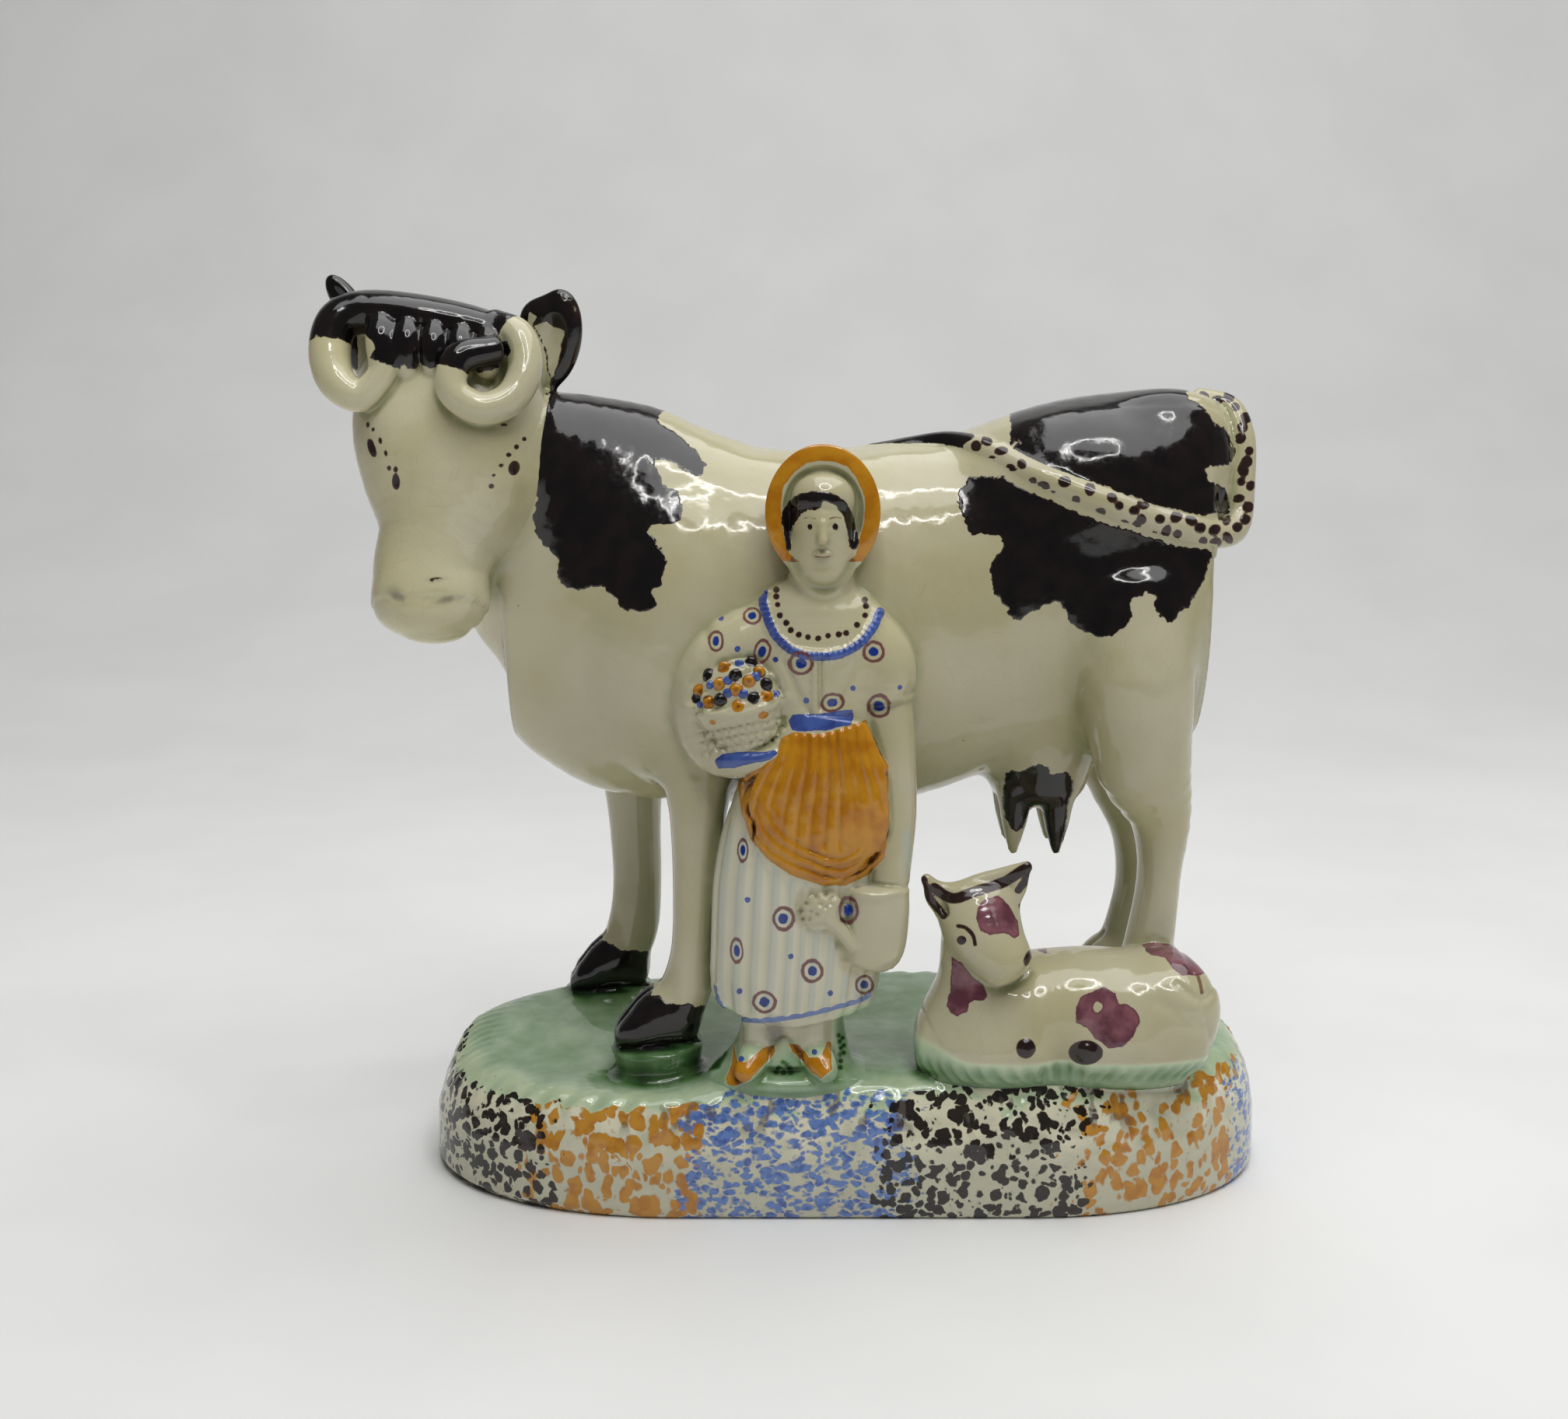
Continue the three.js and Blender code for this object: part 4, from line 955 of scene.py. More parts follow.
EAR_FACE = [
    (952, 226), (975, 220), (1000, 245), (1045, 255), (1032, 310), (1016, 392), (996, 436), (984, 420),
    (974, 330), (952, 280), (925, 240)]
EAR_ROOT = [
    (865, 215), (910, 182), (936, 200), (918, 238), (942, 280), (966, 340), (972, 410), (990, 440),
    (985, 500), (900, 480), (860, 300)]
EAR_BEHIND = [(444, 410), (454, 413), (459, 430), (461, 455), (459, 476), (452, 474), (447, 455), (442, 434)]
# Marks: centre, half-sizes and turn
COW_MARKS = [
    ((295, 712), (15, 38), -18), ((389, 842), (16, 34), -4), ((280, 622), (7, 12), -10),
    ((300, 640), (8, 9), 0), ((328, 683), (8, 15), -12), ((350, 733), (8, 13), -15),
    ((363, 790), (9, 12), -20), ((388, 795), (10, 14), 0), ((887, 677), (10, 9), 0),
    ((856, 708), (11, 10), 0), ((827, 739), (12, 9), 0), ((797, 779), (12, 9), 0), ((768, 818), (10, 7), 0),
    ((759, 860), (12, 10), 0), ((847, 790), (23, 29), 20), ((805, 622), (16, 6), 0)]
NOSTRIL_MARKS = [((548, 1218), (24, 5), -4), ((528, 1224), (7, 6), 0)]
# A brown speck by the nose, and painted shade in the two nostrils.
COW_SPECK_AND_NOSTRIL_SHADE = [((545, 1221), (30, 9), -4), ((388, 1284), (34, 17), 22), ((588, 1300), (50, 14), -12)]
BRIM_INNER = [
    (300, 705), (272, 620), (254, 520), (256, 440), (250, 400), (265, 300), (330, 215), (400, 165),
    (480, 150), (560, 155), (640, 185), (690, 240), (730, 320), (750, 400), (738, 520), (712, 640),
    (690, 715), (500, 850)]
HAIR_ARC = [
    (280, 640), (276, 540), (285, 460), (330, 405), (380, 372), (450, 360), (520, 365), (590, 395),
    (645, 470), (668, 560), (682, 650)]
FRINGE = [
    [(300, 470), (318, 520)], [(330, 440), (322, 500)], [(375, 400), (352, 468)], [(415, 395), (395, 440)],
    [(462, 390), (448, 432)], [(295, 600), (293, 670)], [(350, 420), (335, 500)], [(395, 395), (372, 452)],
    [(438, 390), (420, 434)], [(310, 450), (304, 560)], [(292, 520), (296, 610)], [(485, 388), (478, 420)]]
NECKLACE = [
    (222, 915), (222, 957), (230, 1003), (243, 1068), (281, 1112), (307, 1155), (355, 1182), (410, 1196),
    (470, 1203), (528, 1188), (592, 1180), (637, 1172), (700, 1124), (748, 1067), (753, 1013), (745, 975)]
STRAP_MARKS = [(265, 520), (262, 560), (268, 620), (705, 658)]
CAN = [
    (839, 343), (992, 364), (1223, 299), (1300, 38), (1300, 684), (1146, 823), (869, 807), (839, 653),
    (777, 561), (638, 561), (585, 461), (608, 376), (746, 346)]
# Rings with a dot: centre, half-sizes as shares of the usual ring, and turn
BODICE_EYES = [
    ((510, 140), (0.95, 0.92), 20), ((307, 280), (0.82, 1.15), 0), ((565, 340), (0.9, 1.3), 12),
    ((783, 405), (1.3, 1.2), 10), ((1190, 340), (1.15, 1.15), 0), ((960, 625), (1.3, 1), -15),
    ((1220, 645), (1.25, 1.25), 0)]
SKIRT_EYES = [
    ((318, 145), (0.58, 1.3), 0), ((285, 690), (0.72, 1.4), -4), ((540, 515), (1.18, 1.3), 0),
    ((435, 970), (1.3, 1.2), 0), ((695, 800), (1.2, 1.25), 0), ((980, 875), (1, 1.05), 30),
    ((893, 470), (1.05, 1.5), 0)]
BODICE_DOTS = [(335, 150), (428, 325), (640, 385), (1013, 365), (1073, 545), (1335, 540), (812, 615)]
SKIRT_DOTS = [(343, 412), (580, 720), (300, 910), (795, 920), (310, 1278), (708, 1243)]
LEFT_SHOE = [
    (270, 1180), (285, 1290), (330, 1300), (440, 1215), (490, 1205), (495, 1240), (420, 1330), (360, 1390),
    (290, 1425), (235, 1420), (225, 1390), (260, 1300)]
RIGHT_SHOE = [
    (565, 1195), (620, 1200), (680, 1270), (740, 1270), (780, 1180), (800, 1190), (805, 1340), (745, 1385),
    (700, 1360), (640, 1290), (590, 1240)]
LEAF = [(240, 1120), (225, 1170), (170, 1290), (130, 1345), (190, 1330), (235, 1250)]
MOUND_DOTS = [
    (537, 1298), (515, 1327), (572, 1327), (540, 1352), (580, 1350), (556, 1310), (500, 1350), (840, 1150),
    (846, 1185), (852, 1220), (846, 1255), (852, 1290), (850, 1325), (862, 1165), (868, 1205), (868, 1245)]
CALF_FOREHEAD = [
    (450, 225), (500, 270), (545, 350), (550, 410), (520, 425), (470, 400), (410, 415), (370, 390),
    (345, 330), (360, 270), (400, 235)]
CALF_NECK = [
    (232, 515), (285, 545), (330, 610), (380, 640), (402, 690), (385, 725), (340, 715), (315, 730),
    (305, 770), (260, 795), (225, 780), (205, 745), (225, 680), (230, 600)]
CALF_NAPE = [(622, 452), (665, 460), (692, 500), (640, 490)]
CALF_FLOWER = [
    (940, 652), (1000, 680), (1018, 735), (1060, 733), (1100, 770), (1115, 820), (1090, 880), (1040, 930),
    (970, 942), (910, 900), (870, 850), (815, 820), (810, 770), (835, 700), (890, 680)]
CALF_RUMP = [
    (1120, 450), (1150, 405), (1280, 405), (1390, 440), (1440, 520), (1415, 595), (1380, 600), (1310, 600),
    (1270, 570), (1230, 515), (1170, 505), (1140, 480)]
CALF_PATCHES = (CALF_FOREHEAD, CALF_NECK, CALF_NAPE, CALF_FLOWER, CALF_RUMP)
# Painted lines: points, width in mm and number of points of the smooth curve
CALF_LINES = [
    ([(150, 190), (235, 238), (330, 210), (480, 160), (560, 110), (595, 92)], 1.6, 30),
    ([(100, 150), (115, 210), (150, 265), (195, 318)], 1.2, 16),
    ([(598, 88), (585, 140), (545, 200)], 1.2, 10),
    ([(262, 368), (300, 378), (330, 410), (342, 455)], 0.6, 16),
    ([(552, 270), (560, 310), (575, 352)], 0.5, 0)]
CALF_SPOTS = [
    ((278, 435), (23, 22), 0), ((588, 520), (17, 38), 12), ((580, 942), (46, 48), 0),
    ((860, 962), (82, 58), 0)]
CALF_TAIL_LINE = [(1385, 600), (1398, 640), (1405, 682)]
# Zones of the sponged side, as pixels from left to right
SPONGE_ZONES = {"black": [(0, 712), (1130, 1396)], "orange": [(684, 898), (1372, 1592)],
                "blue": [(872, 1172), (1584, 2016)]}
EYE_RING, EYE_DOT = 1.2, 0.6
FACE_X, FACE_EYE_Z, FACE_EYE_GAP, FACE_MOUTH_Z = -4.3, 101.9, 1.8, 97.7


def turned(u, v, degrees):
    """Places along two turned axes."""
    angle = math.radians(degrees)
    return u * math.cos(angle) + v * math.sin(angle), v * math.cos(angle) - u * math.sin(angle)


def along_limb(limb, points):
    """How far points lie outside a limb's round, and how far along its spine, from 0 to 1."""
    best, where = np.full(len(points), 1e9), np.zeros(len(points))
    last = len(limb.centre) - 1
    for i in range(last):
        step = limb.centre[i + 1] - limb.centre[i]
        t = np.clip((points - limb.centre[i]) @ step / (step @ step), 0, 1)
        away = np.linalg.norm(points - limb.centre[i] - t[:, None] * step, axis=1) - limb.radii[i].max()
        where = np.where(away < best, (i + t) / last, where)
        best = np.minimum(best, away)
    return best, where


class Paint:
    """Colour layers on a piece's points. A layer holds the millimetres inside its painted areas."""

    def __init__(self, points, normals, both_sides=False):
        self.layers = {}
        seen = points.copy()
        if both_sides:
            side = np.where(points[:, 1] > 0, 1, -1)
            self.front = (normals[:, 1] * side + 0.35) * 4
            seen[:, 1] = -np.abs(points[:, 1])
            seen[:, 0] += 5 * ramp(points[:, 1], 1, 12)
        else:
            self.front = ((normals * unit(EYE - points)).sum(1) + 0.12) * 6
        self.u, self.v, self.size = look(*seen.T)

    def add(self, layer, *insides):
        for inside in insides:
            self.layers[layer] = np.maximum(self.layers.get(layer, -np.inf), inside)

    def clear(self, layer, inside):
        self.layers[layer] = np.minimum(self.layers[layer], -inside)

    def region(self, view, outline):
        return region(self.u, self.v, read(view, outline)) * self.size

    def area(self, view, outline):
        return np.minimum(self.region(view, outline), self.front)

    def line(self, view, points, width, smooth=0):
        points = read(view, points)
        if smooth:
            points = spline(points, smooth)
        away, _ = line_distance(self.u, self.v, points)
        return np.minimum(width / 2 - away * self.size, self.front)

    def spots(self, view, centres, radius):
        away = np.min([np.hypot(self.u - u, self.v - v) for u, v in read(view, centres)], axis=0)
        return np.minimum(radius - away * self.size, self.front)

    def rings(self, view, rows):
        """Distance from the centres of stretched rings, with each ring's half-size as its unit."""
        best = np.full(len(self.u), 9.0)
        for centre, share, turn in rows:
            across, down = turned(*(np.stack([self.u, self.v]) - read(view, [centre]).T), turn)
            best = np.minimum(best, np.hypot(across / share[0], down / share[1]) * self.size)
        return best

    def ovals(self, view, rows):
        scale = VIEWS[view][2]
        best = np.full(len(self.u), -9.0)
        for centre, half, turn in rows:
            across, down = turned(*(np.stack([self.u, self.v]) - read(view, [centre]).T), turn)
            r = np.hypot(across * scale / half[0], down * scale / half[1])
            best = np.maximum(best, (1 - r) * min(half) / scale * self.size)
        return np.minimum(best, self.front)

    def store(self, mesh):
        for name, inside in self.layers.items():
            values = np.clip(inside + 1, 0, 2).astype(np.float32)
            mesh.attributes.new(name, "FLOAT", "POINT").data.foreach_set("value", values)


def nearer(shares, first, second):
    """1 where the second form lies nearer than the first, 0 where it doesn't."""
    return ramp(shares[first] - shares[second], -0.1, 0.2)


def borrow_black(p, points, normals, near_base, shares, own):
    """Where the cow's body lies nearer than the piece's own form, the body's black goes on over the join."""
    if "body" not in shares:
        return
    body = np.clip(paint_body(points, normals, near_base, {}).layers["black"], -1, 1)
    share = nearer(shares, own, "body")
    for layer, inside in p.layers.items():
        if layer not in ("green", "flute_pool_shade", "pale"):
            under = body if layer == "black" else -1
            p.layers[layer] = np.clip(inside, -1, 1) * (1 - share) + under * share


def paint_body(points, normals, near_base, shares):
    p = Paint(points, normals, both_sides=True)
    x, y, z = points.T
    p.add("black", p.area("photo", SHOULDER), p.area("rump", SADDLE))
    p.clear("black", p.area("rump", SADDLE_TONGUE))
    p.add("black", p.area("rump", HAUNCH), np.minimum(p.area("udder", UDDER_BLACK), 68 - z))
    for foot_x, foot_y in HOOF_FEET:
        away = np.hypot(x - foot_x + 0.8, y - foot_y)
        slope = 31 - 0.24 * (x - foot_x) + 0.2 * np.cos(x * 1.3)
        if foot_x > 0 and foot_y > 0:
            slope -= 3
        p.add("black", np.minimum(slope - z, 9 - away))
    for other in ("head", "maid", "calf"):
        if other in shares:
            share = nearer(shares, "body", other)
            p.layers["black"] = np.clip(p.layers["black"], -1, 1) * (1 - share) - share
    # the rump's rear stays bare
    p.clear("black", np.minimum((0.28 - np.abs(normals[:, 1])) * 6, (normals[:, 0] - 0.5) * 6))
    p.clear("black", np.min([x - 49.5, y - 1, 117.5 - z], axis=0))
    p.layers["green"] = near_base * 0.9 - 1
    return p


def paint_head(points, normals, near_base, shares):
    p = Paint(points, normals)
    x, y, z = points.T
    behind = np.minimum(z - 129.4 + 0.5 * np.sin(x * 1.1), y + 17)
    p.add("black", p.area("head", HAIR), np.minimum(behind, 1))
    for horn, spans in zip(horns(), ([(-1, 0.26), (0.78, 2)], [(-1, 0.1), (0.8, 2)])):
        away, along = along_limb(horn, points)
        length = np.linalg.norm(np.diff(horn.centre, axis=0), axis=1).sum()
        painted = np.max([np.minimum(along - a, b - along) for a, b in spans], axis=0) * length
        p.layers["black"] = np.where(away < 0.55, painted, p.layers["black"])
    right = (1.25 - np.linalg.norm((points - RIGHT_EAR.at) / (4.1, 2.6, 7.4), axis=1)) * 3
    right = np.minimum(right, x + 46.8)
    cream = np.maximum(p.area("head", EAR_FACE), p.area("head", EAR_ROOT))
    p.layers["black"] = np.where(right > 0, np.minimum(right, -cream), p.layers["black"])
    p.add("black", 3 - np.linalg.norm((points - (-74.2, -11, 135)) / (1, 1, 1.2), axis=1))
    left = np.linalg.norm((points - LEFT_EAR.at) / LEFT_EAR.size, axis=1)
    p.layers["black"] = np.where(left < 1.3, np.maximum(p.area("photo", EAR_BEHIND), y + 10.8),
                                 p.layers["black"])
    p.add("dark", p.ovals("head", COW_MARKS + NOSTRIL_MARKS))
    # Grey for the speck by the nose, and painted shade in the nostrils.
    p.add("grey", p.ovals("head", COW_SPECK_AND_NOSTRIL_SHADE))
    borrow_black(p, points, normals, near_base, shares, "head")
    return p


def paint_tail(points, normals, near_base, shares):
    p = Paint(points, normals, both_sides=True)
    p.u, p.v, _ = look(*points.T)
    dark = [(at, (20 + 3 * math.sin(i * 2.1), 22 + 5 * math.sin(i * 3.7)), i * 40)
            for i, at in enumerate(TAIL_DOTS)]
    p.add("dark", p.ovals("rump", dark))
    p.add("dark", *(0.7 - np.linalg.norm(points - spot, axis=1) for spot in REAR_DOTS))
    p.add("black", 17.6 + 0.8 * np.sin(points[:, 2] * 2) - points[:, 0])
    borrow_black(p, points, normals, near_base, shares, "tail")
    return p


def paint_face(p, x, z):
    """Plain dots for eyes under thin brows, and a thin mouth."""
    for eye_x in (FACE_X - FACE_EYE_GAP, FACE_X + FACE_EYE_GAP):
        r = np.hypot((x - eye_x) / 0.4, (z - FACE_EYE_Z) / 0.5)
        p.add("black", np.minimum((1 - r) * 0.45, p.front))
        brow = 0.1 - np.abs(z - FACE_EYE_Z - 1.35 + 0.28 * (x - eye_x) ** 2)
        p.add("brown", np.min([brow, 0.85 - np.abs(x - eye_x), p.front], axis=0))
    mouth = 0.14 - np.abs(z - FACE_MOUTH_Z - 0.1 * (x - FACE_X) ** 2)
    p.add("brown", np.min([mouth, 1.1 - np.abs(x - FACE_X), p.front], axis=0))


def paint_maid(points, normals, near_base, shares):
    p = Paint(points, normals)
    x, y, z = points.T
    inner = p.region("bonnet", BRIM_INNER)
    outer = np.hypot((x - BONNET_X) / BONNET_HALF_WIDTH, (z - BONNET_Z) / BONNET_HALF_HEIGHT)
    brim = np.min([-inner, (outer - 0.72) * 8, z - 96.8, -18.5 - y], axis=0)
    apron, cuff = p.area("bodice", APRON), p.area("bodice", CUFF)
    shoes = np.maximum(p.area("skirt", LEFT_SHOE), p.area("skirt", RIGHT_SHOE))
    p.add("ochre", brim, apron, shoes)
    p.add("black", np.minimum(p.line("bonnet", HAIR_ARC, 1.35, 40), inner))
    p.add("black", *(p.line("bonnet", strand, 0.62) for strand in FRINGE))
    paint_face(p, x, z)
    p.add("dark", p.spots("bonnet", NECKLACE, 0.46))
    p.add("cobalt", p.line("bonnet", NECKLINE, 1.25, 40), p.area("bodice", BELT), cuff,
          p.spots("bodice", BODICE_DOTS, 0.42), p.spots("skirt", SKIRT_DOTS, 0.42))
    scallops = spline(np.array(HEM, float), 110)
    scallops[:, 1] -= 9 * np.abs(np.sin(np.arange(len(scallops)) * 0.5))
    p.add("trim", p.line("skirt", scallops, 0.42), p.line("skirt", np.array(HEM) + (0, 5), 0.4, 40))
    away = np.minimum(p.rings("bodice", BODICE_EYES), p.rings("skirt", SKIRT_EYES))
    p.add("eye", np.min([1 - away, p.front * 3, -np.maximum(p.layers["ochre"], cuff)], axis=0))
    # Grey marks; the grey smear low between the ankles, under the hem, is painted shade.
    p.add("grey", p.spots("skirt", [(893, 470)], 1.5) * 0.5,
          p.ovals("bodice", [((1020, 1340), (60, 22), -8)]),
          p.ovals("skirt", [((492, 1122), (64, 66), 0)]) * 0.4, p.spots("bonnet", STRAP_MARKS, 0.45))
    plain = np.maximum(p.area("skirt", CAN), apron)
    # Blue-grey laid in bands with the skirt's flutes: pooled glaze and painted shade in the folds.
    p.layers["flute_pool_shade"] = flutes(x, y, z) * ramp(-plain, -0.2, 0.6) - 1
    arm = np.where(z > 48, np.hypot(x - 5.4, y - MAID_Y + 2.4) - 4.4, 2)
    off_cow = ramp(shares["body"] - shares["maid"], -0.2, 0.4) if "body" in shares else 1
    p.layers["pale"] = off_cow * (1 - ramp(z, 56, 66)) * ramp(-plain, -0.4, 0.8) * ramp(arm, 0.2, 1.4) - 1
    for layer, flowers, size in (("black", BLACK_FLOWERS, 1.0), ("ochre", OCHRE_FLOWERS, 1.0),
                                 ("cobalt", BLUE_FLOWERS, 0.72)):
        struck = HEAP.struck(read("bodice", flowers))
        p.add(layer, *(size - np.linalg.norm(points - at, axis=1) for at in struck))
    legs = np.max([2.9 - np.hypot(x - leg_x, y - MAID_Y + 1.6) for leg_x in MAID_LEGS], axis=0)
    mound = np.maximum(ramp(-z, -28, -22.5), near_base)
    side = np.maximum(ramp(np.abs(x + 9.4), 6.4, 8), ramp(-z, -24, -22)) * ramp(-z, -33, -29)
    green = np.maximum(mound, side) * (1 - ramp(shoes, -0.3, 0.2))
    green = green * (1 - ramp(legs, -0.6, 0.2) * ramp(z, 21.6, 22.6))
    dark = np.maximum(ramp(p.area("skirt", LEAF), -0.3, 0.3),
                      ramp(p.spots("skirt", MOUND_DOTS, 0.34), -0.15, 0.15))
    p.layers["green"] = green * (0.4 + 0.6 * dark) - 1
    borrow_black(p, points, normals, near_base, shares, "maid")
    return p


def paint_calf(points, normals, near_base, shares):
    p = Paint(points, normals)
    p.add("purple", *(p.area("calf", outline) for outline in CALF_PATCHES))
    p.clear("purple", p.ovals("calf", [((915, 750), (20, 24), 20)]))
    p.add("dark", *(p.line("calf", line, width, smooth) for line, width, smooth in CALF_LINES))
    p.add("dark", p.ovals("calf", CALF_SPOTS))
    p.add("brown", p.line("calf", CALF_TAIL_LINE, 0.5))
    left = 1 - ramp(points[:, 0], 10, 18)
    low = ramp(-points[:, 2], -24.6 - 3 * left, -21.6)
    p.layers["green"] = np.maximum(low * (0.42 + 0.2 * left), near_base * 0.7) - 1
    borrow_black(p, points, normals, near_base, shares, "calf")
    return p


def paint_base(points, normals, near_base, shares):
    p = Paint(points, normals, both_sides=True)
    x, y, z = points.T
    out, left = base_edge(x, y)
    pads = np.max([ramp(-np.hypot((x - a + 0.4) / 1.2, y - b), -8.2, -5.6) for a, b in HOOF_FEET], axis=0)
    flat = np.max([ramp(normals[:, 2], 0.42, 0.8), ramp(-out, 6.5 + 4 * left, 8 + 4 * left), pads], axis=0)
    for colour, zones in SPONGE_ZONES.items():
        inside = np.max([np.minimum(p.u - a, b - p.u) for a, b in zones], axis=0) * p.size
        p.add("sponge_" + colour, np.minimum(inside * 0.2, (0.5 - flat) * 2))
    top = np.maximum(ramp(normals[:, 2], 0.3, 0.7), pads) * ramp(z, 13.5, 15.5)
    amount = 0.17 + 0.26 * ramp(-out, 3.2, 9) + 0.3 * pads * (1 - ramp(z, 23, 23.3)) + 0.1 * ramp(x, -40, -10)
    p.layers["green"] = np.maximum(amount, near_base) * top - 1
    p.layers["upper"] = ramp(z, 12, 15) * (1 - ramp(z, 19, 20)) * (1 - flat) - 1
    return p


PAINTS = {"base": paint_base, "cow_body": paint_body, "cow_head": paint_head, "cow_tail": paint_tail,
          "milkmaid_skirt": paint_maid, "milkmaid_bust": paint_maid, "calf": paint_calf}


# Glaze

class Wire:
    """A node's output. Sums, differences and products of it are further nodes."""

    def __init__(self, nodes, socket):
        self.nodes, self.socket = nodes, socket

    def __add__(self, other):
        return self.nodes.math("ADD", self, other)

    def __sub__(self, other):
        return self.nodes.math("SUBTRACT", self, other)

    def __rsub__(self, other):
        return self.nodes.math("SUBTRACT", other, self)

    def __mul__(self, other):
        return self.nodes.math("MULTIPLY", self, other)

    def beside(self, output):
        """Another output of the same node."""
        return Wire(self.nodes, self.socket.node.outputs[output])


class Nodes:
    """Builds one material out of nodes. Its places are in millimetres."""

    # sockets of the mixing node that hold colours
    UNDER, OVER, MIXED = 6, 7, 2

    def __init__(self, name):
        self.material = bpy.data.materials.new(name)
        self.material.use_nodes = True
        self.tree = self.material.node_tree
        self.shader = self.tree.nodes["Principled BSDF"]
        self.place = self.scaled(self.node("TexCoord", "Object", {}), 1 / MM)

    def link(self, source, target):
        if isinstance(source, Wire):
            self.tree.links.new(source.socket, target)
        else:
            target.default_value = (*source, 1) if target.type == "RGBA" else source

    def node(self, kind, output, inputs, **settings):
        """Adds a node and gives one of its outputs."""
        node = self.tree.nodes.new("ShaderNode" + kind)
        for name, value in settings.items():
            setattr(node, name, value)
        for name, source in inputs.items():
            self.link(source, node.inputs[name])
        return Wire(self, node.outputs[output])

    def vector(self, operation, a, b):
        return self.node("VectorMath", "Vector", {0: a, 1: b}, operation=operation)

    def scaled(self, a, scale):
        return self.node("VectorMath", "Vector", {0: a, "Scale": scale}, operation="SCALE")

    def math(self, operation, a, b=0.0):
        return self.node("Math", "Value", {0: a, 1: b}, operation=operation)

    def most(self, a, b):
        return self.math("MAXIMUM", a, b)

    def smooth(self, value, low, high, to_low=0.0, to_high=1.0):
        inputs = {"Value": value, "From Min": low, "From Max": high, "To Min": to_low, "To Max": to_high}
        return self.node("MapRange", "Result", inputs, interpolation_type="SMOOTHSTEP")

    def stored(self, name):
        return self.node("Attribute", "Fac", {}, attribute_name=name)

    def along(self, axis):
        return self.node("SeparateXYZ", axis, {0: self.place})

    def noise(self, wavelength, detail=2.0, shift=0.0, stretch=None, output="Fac"):
        place = self.vector("MULTIPLY", self.place, stretch) if stretch else self.place
        if shift:
            place = self.vector("ADD", place, (shift, shift * 1.7, -shift))
        return self.node("TexNoise", output, {"Vector": place, "Scale": 1 / wavelength, "Detail": detail})

    def cells(self, size, feature="F1", shift=0.0, randomness=1.0, place=None):
        """Distances in a pattern of cells."""
        place = place or self.place
        if shift:
            place = self.vector("ADD", place, (shift, -shift, shift))
        inputs = {"Vector": place, "Scale": 1 / size, "Randomness": randomness}
        return self.node("TexVoronoi", "Distance", inputs, feature=feature)

    def blend(self, amount, under, over):
        return self.node("Mix", self.MIXED, {0: amount, self.UNDER: under, self.OVER: over}, data_type="RGBA")

    def steps(self, value, rows):
        """A colour that runs through rows of place and colour."""
        colour = self.node("ValToRGB", "Color", {"Fac": value})
        stops = colour.socket.node.color_ramp.elements
        while len(stops) < len(rows):
            stops.new(0.5)
        for stop, (at, shade) in zip(stops, rows):
            stop.position, stop.color = at, (*shade, 1)
        return colour


# The pool colours darken the clay in hollows and creases: partly glaze pooled there, partly painted shade.
CREAM, CREAM_WARM, CREAM_POOL_SHADE = (0.64, 0.6, 0.41), (0.59, 0.54, 0.32), (0.32, 0.33, 0.17)
PALE, PALE_WARM, PALE_POOL_SHADE = (0.68, 0.655, 0.5), (0.63, 0.6, 0.44), (0.4, 0.42, 0.31)
BLUE_GREY, CRAZE = (0.42, 0.48, 0.44), (0.34, 0.29, 0.18)
SPECK, STROKE = (0.05, 0.035, 0.02), (0.13, 0.11, 0.09)
GREENS = [
    (0.0, (0.74, 0.74, 0.56)), (0.16, (0.52, 0.62, 0.4)), (0.4, (0.3, 0.42, 0.27)),
    (0.62, (0.16, 0.28, 0.12)), (0.85, (0.05, 0.12, 0.035)), (1.0, (0.02, 0.05, 0.015))]
BLACK, BLACK_THIN = (0.006, 0.005, 0.005), (0.035, 0.02, 0.016)
DARK, DARK_THIN = (0.016, 0.009, 0.008), (0.1, 0.045, 0.03)
OCHRE, OCHRE_THIN, OCHRE_POOL_SHADE = (0.45, 0.165, 0.004), (0.56, 0.25, 0.012), (0.12, 0.035, 0.005)
COBALT, COBALT_THIN = (0.01, 0.036, 0.24), (0.045, 0.11, 0.42)
TRIM, TRIM_THIN = (0.06, 0.13, 0.42), (0.14, 0.24, 0.5)
SPONGE_BLUE, SPONGE_BLUE_THIN = (0.014, 0.075, 0.36), (0.08, 0.2, 0.56)
PURPLE, PURPLE_THIN = (0.12, 0.038, 0.055), (0.25, 0.1, 0.12)
RING, BROWN, GREY = (0.16, 0.05, 0.05), (0.16, 0.075, 0.04), (0.12, 0.11, 0.11)
# Washes: layer, thick and thin colour, raggedness, width of the rim and strength
WASHES = [
    ("purple", PURPLE, PURPLE_THIN, 0.7, 0.5, 1.0), ("ochre", OCHRE, OCHRE_THIN, 0.35, 0.4, 1.0),
    ("cobalt", COBALT, COBALT_THIN, 0.4, 0.3, 0.95), ("trim", TRIM, TRIM_THIN, 0.22, 0.3, 0.85)]
# Sponged colours: layer, thick and thin colour, size of a dab in mm, least and most reach of a dab, strength,
# softness of its rim, stretch of the pattern, and its share towards the right
SPONGED = [
    ("blue", SPONGE_BLUE, SPONGE_BLUE_THIN, 1.4, 0.08, 0.55, 0.9, 0.12, (0.8, 0.8, 1.25), 1.0),
    ("orange", OCHRE, OCHRE_THIN, 2.5, 0.06, 0.55, 0.95, 0.06, (1.1, 1.1, 0.85), 0.88),
    ("black", BLACK, DARK, 1.8, 0.08, 0.55, 0.98, 0.04, (1, 1, 1), 1.0),
]
GLAZE_IOR = 1.58


